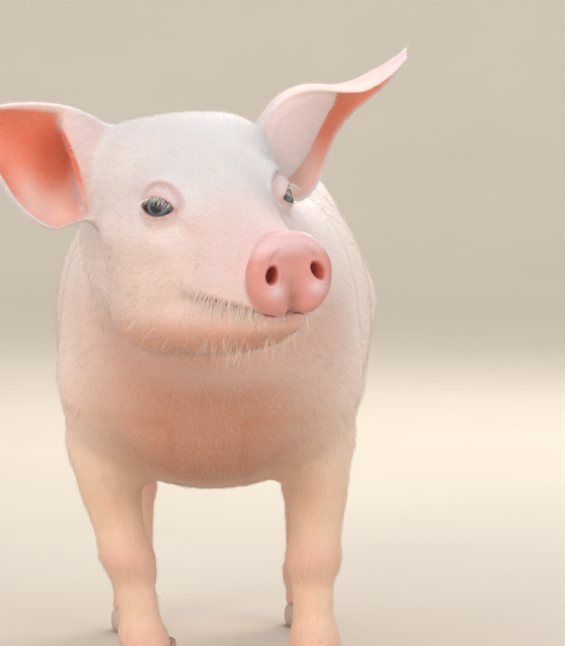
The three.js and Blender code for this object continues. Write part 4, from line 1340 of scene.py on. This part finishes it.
def make_coat(ground, material):
    rng = np.random.default_rng(SEEDS["coat"])
    share = 1.0
    grown = (1 - ground.tints[:, 3]) ** 2
    for name, (count, length, radius, steep) in COATS.items():
        density = grown * in_coats(ground.region, name)
        rows, roots = ground.scatter(density, int(count * share), rng)
        normals = ground.normals[rows]
        lie = lie_of(roots, ground.region[rows])
        swing = np.radians(rng.normal(0, SWING, len(rows)))
        lift = np.radians(rng.uniform(0.4 * steep, steep, len(rows)))
        first = laid(normals, lie, swing, lift)
        last = laid(normals, lie, swing * 1.5, np.radians(rng.uniform(-4, 12, len(rows))))
        long = coat_lengths(name, length * rng.uniform(0.65, 1.2, len(rows)), ground, rows, roots)
        colour = (1 - WHITE_SHARE) * ground.tints[rows, :3] + WHITE_SHARE * TONES["hair"]
        thick = radius * rng.uniform(0.8, 1.2, len(rows))
        roots = roots - ROOT_DEPTH * normals
        make_hairs("coat_" + name, name, material, colour, roots, first, last, long, thick, 2)


def make_bristles(ground, material):
    """The longer pale bristles that hang from the upper lip, the chin and the cheeks."""
    rng = np.random.default_rng(SEEDS["bristles"])
    x, y, z = ground.head.T
    forward = -y
    above = z - mouth_height(forward)
    lip = step(0.3, 1.2, above) * step(7, 3, above) * step(98, 110, forward) * step(150, 140, forward)
    chin = 0.07 * step(-12, -18, z) * step(88, 100, forward) * step(146, 136, forward)
    cheek = 0.07 * bump(np.hypot((forward - 72) / 26, (z - 12) / 22), 1)
    rows, roots = ground.scatter(((lip + chin) * (forward > 90) + cheek) * (forward > 20), BRISTLES, rng)
    normals = ground.normals[rows]
    sweep = step(100, 90, forward[rows])
    hang = rest_of_head(columns(0.2 * np.sign(x[rows]), 0.3 + sweep, sweep * 0.4 - 1.0))
    swing = np.radians(rng.normal(0, 12, len(rows)))
    first = laid(normals, hang, swing, np.radians(rng.uniform(25, 55, len(rows))))
    down = np.array([0.0, 0.0, -1.0]) + rng.normal(0, 0.12, (len(rows), 3)) + 0.8 * sweep[:, None] * hang
    length = rng.uniform(7, 17, len(rows)) * (1 - 0.35 * sweep)
    colour = np.tile(TONES["bristle"], (len(rows), 1))
    thick = 0.1 - 0.025 * sweep
    roots = roots - ROOT_DEPTH * normals
    make_hairs("bristles", "face_left", material, colour, roots, first, down, length, thick, 4)


def make_lashes(name, side, material):
    """Pale lashes: long ones that droop from the upper lid, and a few short ones on the lower."""
    rng = np.random.default_rng(SEEDS["lashes"])
    roots, first, last, length = [], [], [], []
    for sign, lid, count, long in LASHES:
        high = OPENING[lid]
        radius = lid_radius(high)
        across = rng.uniform(-0.85, 0.95, count) * OPENING["half_width"]
        up = np.sqrt(radius**2 - across**2) - (radius - high) + rng.uniform(0.25, 0.8, count)
        out = np.sqrt(np.maximum((EYE_RADIUS + LID_THICK) ** 2 - across**2 - up**2, 1)) - 0.5
        roots.append(columns(across, sign * up, out))
        fan = 0.12 + 0.03 * across + rng.normal(0, 0.1, count)
        first.append(columns(fan, -0.25 + 0 * fan, 0.9 + 0 * fan))
        last.append(columns(fan * 1.3, -0.95 + rng.normal(0, 0.12, count), 0.25 + 0 * fan))
        length.append(long * rng.uniform(0.6, 1.15, count) * (0.7 + 0.3 * step(-6, 4, across)))
    roots, first, last, length = (np.concatenate(v) for v in (roots, first, last, length))
    first, last = (rest_of_head(unit(v @ EYE_AXES * (side, 1, 1))) for v in (first, last))
    colour = np.tile(TONES["lash"], (len(length), 1))
    region = "face_left" if side > 0 else "face_right"
    thick = np.full(len(length), 0.08)
    make_hairs(name, region, material, colour, from_eye(roots, side), first, last, length, thick, 5)


# ---- Claws ----
CLAW = {"width": 12.4, "cleft": 1.2, "splay": 4}
# [place along it, share of its width, share of its height]
CLAW_ROWS = [
    [-18, 0.32, 0.2], [-14.8, 0.6, 0.46], [-7.2, 0.92, 0.9], [2.6, 1, 1], [9.8, 0.92, 1], [13, 0.62, 0.8],
]
DEWCLAW = {"radius": 4.2, "length": 13, "apart": 9.5, "behind": 17, "height": 33, "lean": 60, "turn": 14}
DEWCLAW_ROWS = np.array([[0.15, 0], [0.5, 0.05], [0.75, 0.2], [0.92, 0.45], [1, 0.75], [1, 1]])  # [wide, up]


def make_horn(name, rings, place, material):
    """A horn from rings in its own frame, set in the pig's by a function."""
    local, faces = closed_tube(rings)
    placed = place(local)
    a, b, c = (placed[faces[:, n]] for n in range(3))
    middle = placed.mean(axis=0)
    turned = ((a - middle) * np.cross(b - middle, c - middle)).sum() < 0
    horn = mesh_object(name, placed, faces[:, ::-1] if turned else faces)
    give(horn, "grain", "FLOAT_VECTOR", local)
    dress(horn, material, "horn", name)


def claw_rings():
    """One claw, flat underneath, with its x growing away from the cleft and its toe at -y."""
    along = np.linspace(-CORONET["toe"], CORONET["heel"], 30)
    _, wide, tall = through(CLAW_ROWS, along)
    half, top = CLAW["width"] * wide / 2, tall * coronet_height(along)
    spin = np.linspace(0, 2 * math.pi, 40, endpoint=False)
    round_x, round_z = (np.sign(v) * np.abs(v) ** p for v, p in ((np.cos(spin), 0.75), (np.sin(spin), 0.8)))
    x = half[:, None] * (1 + round_x)
    z = np.maximum(top[:, None] * (0.5 + 0.5 * round_z) * 1.03 - 0.25, 0)
    return np.stack([x, np.broadcast_to(along[:, None], x.shape), z], axis=2)


def dewclaw_rings():
    spin = np.linspace(0, 2 * math.pi, 24, endpoint=False)
    wide, up = ((DEWCLAW_ROWS[:, n] * DEWCLAW[size])[:, None] for n, size in enumerate(("radius", "length")))
    return np.stack([wide * np.cos(spin), up + 0 * spin, wide * np.sin(spin)], axis=2)


def claw_place(leg, outward):
    """The function that sets one claw's points in the pig's frame."""
    x, y = foot_of(leg)
    shift = CLAW["cleft"] / 2 + CORONET["heel"] * math.sin(math.radians(CLAW["splay"]))

    def place(local):
        across, along = spun(local[:, 0], local[:, 1], -CLAW["splay"])
        return columns(outward * (across + shift) + x, along + y, local[:, 2])

    return place


def dewclaw_place(leg, outward):
    x, y = foot_of(leg)
    lean = Matrix.Rotation(math.radians(DEWCLAW["lean"]), 3, "X")
    turn = Matrix.Rotation(math.radians(180 - outward * DEWCLAW["turn"]), 3, "Z")
    at = (outward * DEWCLAW["apart"] + x, DEWCLAW["behind"] + y, DEWCLAW["height"] - DEWCLAW["length"])
    return lambda local: local @ np.array(turn @ lean).T + np.array(at)


def make_feet(material):
    claw, dewclaw = claw_rings(), dewclaw_rings()
    for leg, (side, _, _, _) in LEGS.items():
        for where, outward in (("outer", side), ("inner", -side)):
            name = where + "_" + leg
            make_horn("claw_" + name, claw, claw_place(leg, outward), material)
            make_horn("dewclaw_" + name, dewclaw, dewclaw_place(leg, outward), material)


# ---- Camera, floor and light ----
CAMERA_DISTANCE = 2000
CAMERA_RISE = 4  # degrees above level
CAMERA_AT = (41, -290, 226)  # the point that the camera looks at
FRAME_HEIGHT = 336  # what the picture's height spans there


def make_camera():
    data = bpy.data.cameras.new("camera")
    camera = in_scene("camera", data)
    rise = math.radians(CAMERA_RISE)
    away = np.array([0, -math.cos(rise), math.sin(rise)]) * CAMERA_DISTANCE
    camera.location = Vector((np.array(CAMERA_AT) + away) * MM + SPINE)
    camera.rotation_euler = (math.radians(90) - rise, 0, 0)
    data.sensor_fit, data.sensor_height = "VERTICAL", 24
    data.lens = data.sensor_height / (FRAME_HEIGHT / CAMERA_DISTANCE)
    data.clip_end = 50
    bpy.context.scene.camera = camera
    bpy.context.scene.view_settings.view_transform = "Standard"


def floor_material():
    material, tree = principled("floor", Roughness=0.85)
    patches = ranged(tree, noise(tree, own_place(tree), 3.0, 5.0), 0.3, 0.7, 0.0, 1.0)
    return shaded(material, Base_Color=mixed(tree, patches, (0.60, 0.54, 0.46, 1), (0.63, 0.57, 0.49, 1)))


def make_floor():
    """A pale floor that turns up into a wall far behind the pig."""
    reach, start, radius, top = 7.0, 3.2, 1.6, 5.0
    turn = np.linspace(0, math.pi / 2, 17)
    curve = zip(start + radius * np.sin(turn), radius * (1 - np.cos(turn)))
    profile = [(-reach, 0.0), *curve, (start + radius, top)]
    vertices = [(x, y, z) for y, z in profile for x in (-reach, reach)]
    faces = [(2 * i, 2 * i + 1, 2 * i + 3, 2 * i + 2) for i in range(len(profile) - 1)]
    mesh = bpy.data.meshes.new("floor")
    mesh.from_pydata(vertices, [], faces)
    for polygon in mesh.polygons:
        polygon.use_smooth = True
    mesh.materials.append(floor_material())
    in_scene("floor", mesh)


LIGHTS = {  # name: (place, what it points at, size, power, colour)
    "key": ((-0.9, -1.95, 1.4), (0, -0.1, 0.2), 1.0, 14, (0.97, 0.98, 1.0)),
    "warm": ((-0.9, -2.2, 0.3), (0, -0.1, 0.2), 1.8, 17, (1.0, 0.72, 0.52)),
    "fill": ((1.6, -1.0, 1.0), (0, -0.1, 0.2), 1.6, 12, (0.93, 0.97, 1.0)),
    "side": ((-1.8, -0.8, 0.9), (0, -0.1, 0.2), 1.4, 4.5, (0.95, 0.97, 1.0)),
    "back": ((0.5, 1.6, 1.4), (0, 0, 0.2), 1.4, 18, (1.0, 0.98, 0.96)),
    "wash": ((0, 1.5, 3.2), (0, 4.8, 1.0), 3.0, 60, (1.0, 0.93, 0.84)),
}


def make_lights():
    world = bpy.data.worlds.new("studio")
    bpy.context.scene.world = world
    world.use_nodes = True
    world.node_tree.nodes["Background"].inputs["Color"].default_value = (0.90, 0.92, 0.96, 1)
    world.node_tree.nodes["Background"].inputs["Strength"].default_value = 0.68
    for name, (at, towards, size, power, colour) in LIGHTS.items():
        data = bpy.data.lights.new(name, "AREA")
        data.shape, data.size = "DISK", size
        data.energy, data.color = power, colour
        light = in_scene(name, data)
        light.location = at
        light.rotation_euler = (Vector(towards) - Vector(at)).to_track_quat("-Z", "Y").to_euler()


make_camera()
make_floor()
make_lights()
ground = Ground(*make_skin())
bristle = hair_material()
make_coat(ground, bristle)
make_bristles(ground, bristle)
eye_gloss = eye_material()
for eye_name, eye_side in SIDES.items():
    make_eye("eye_" + eye_name, eye_side, eye_gloss)
    make_lashes("lashes_" + eye_name, eye_side, bristle)
make_feet(horn_material())
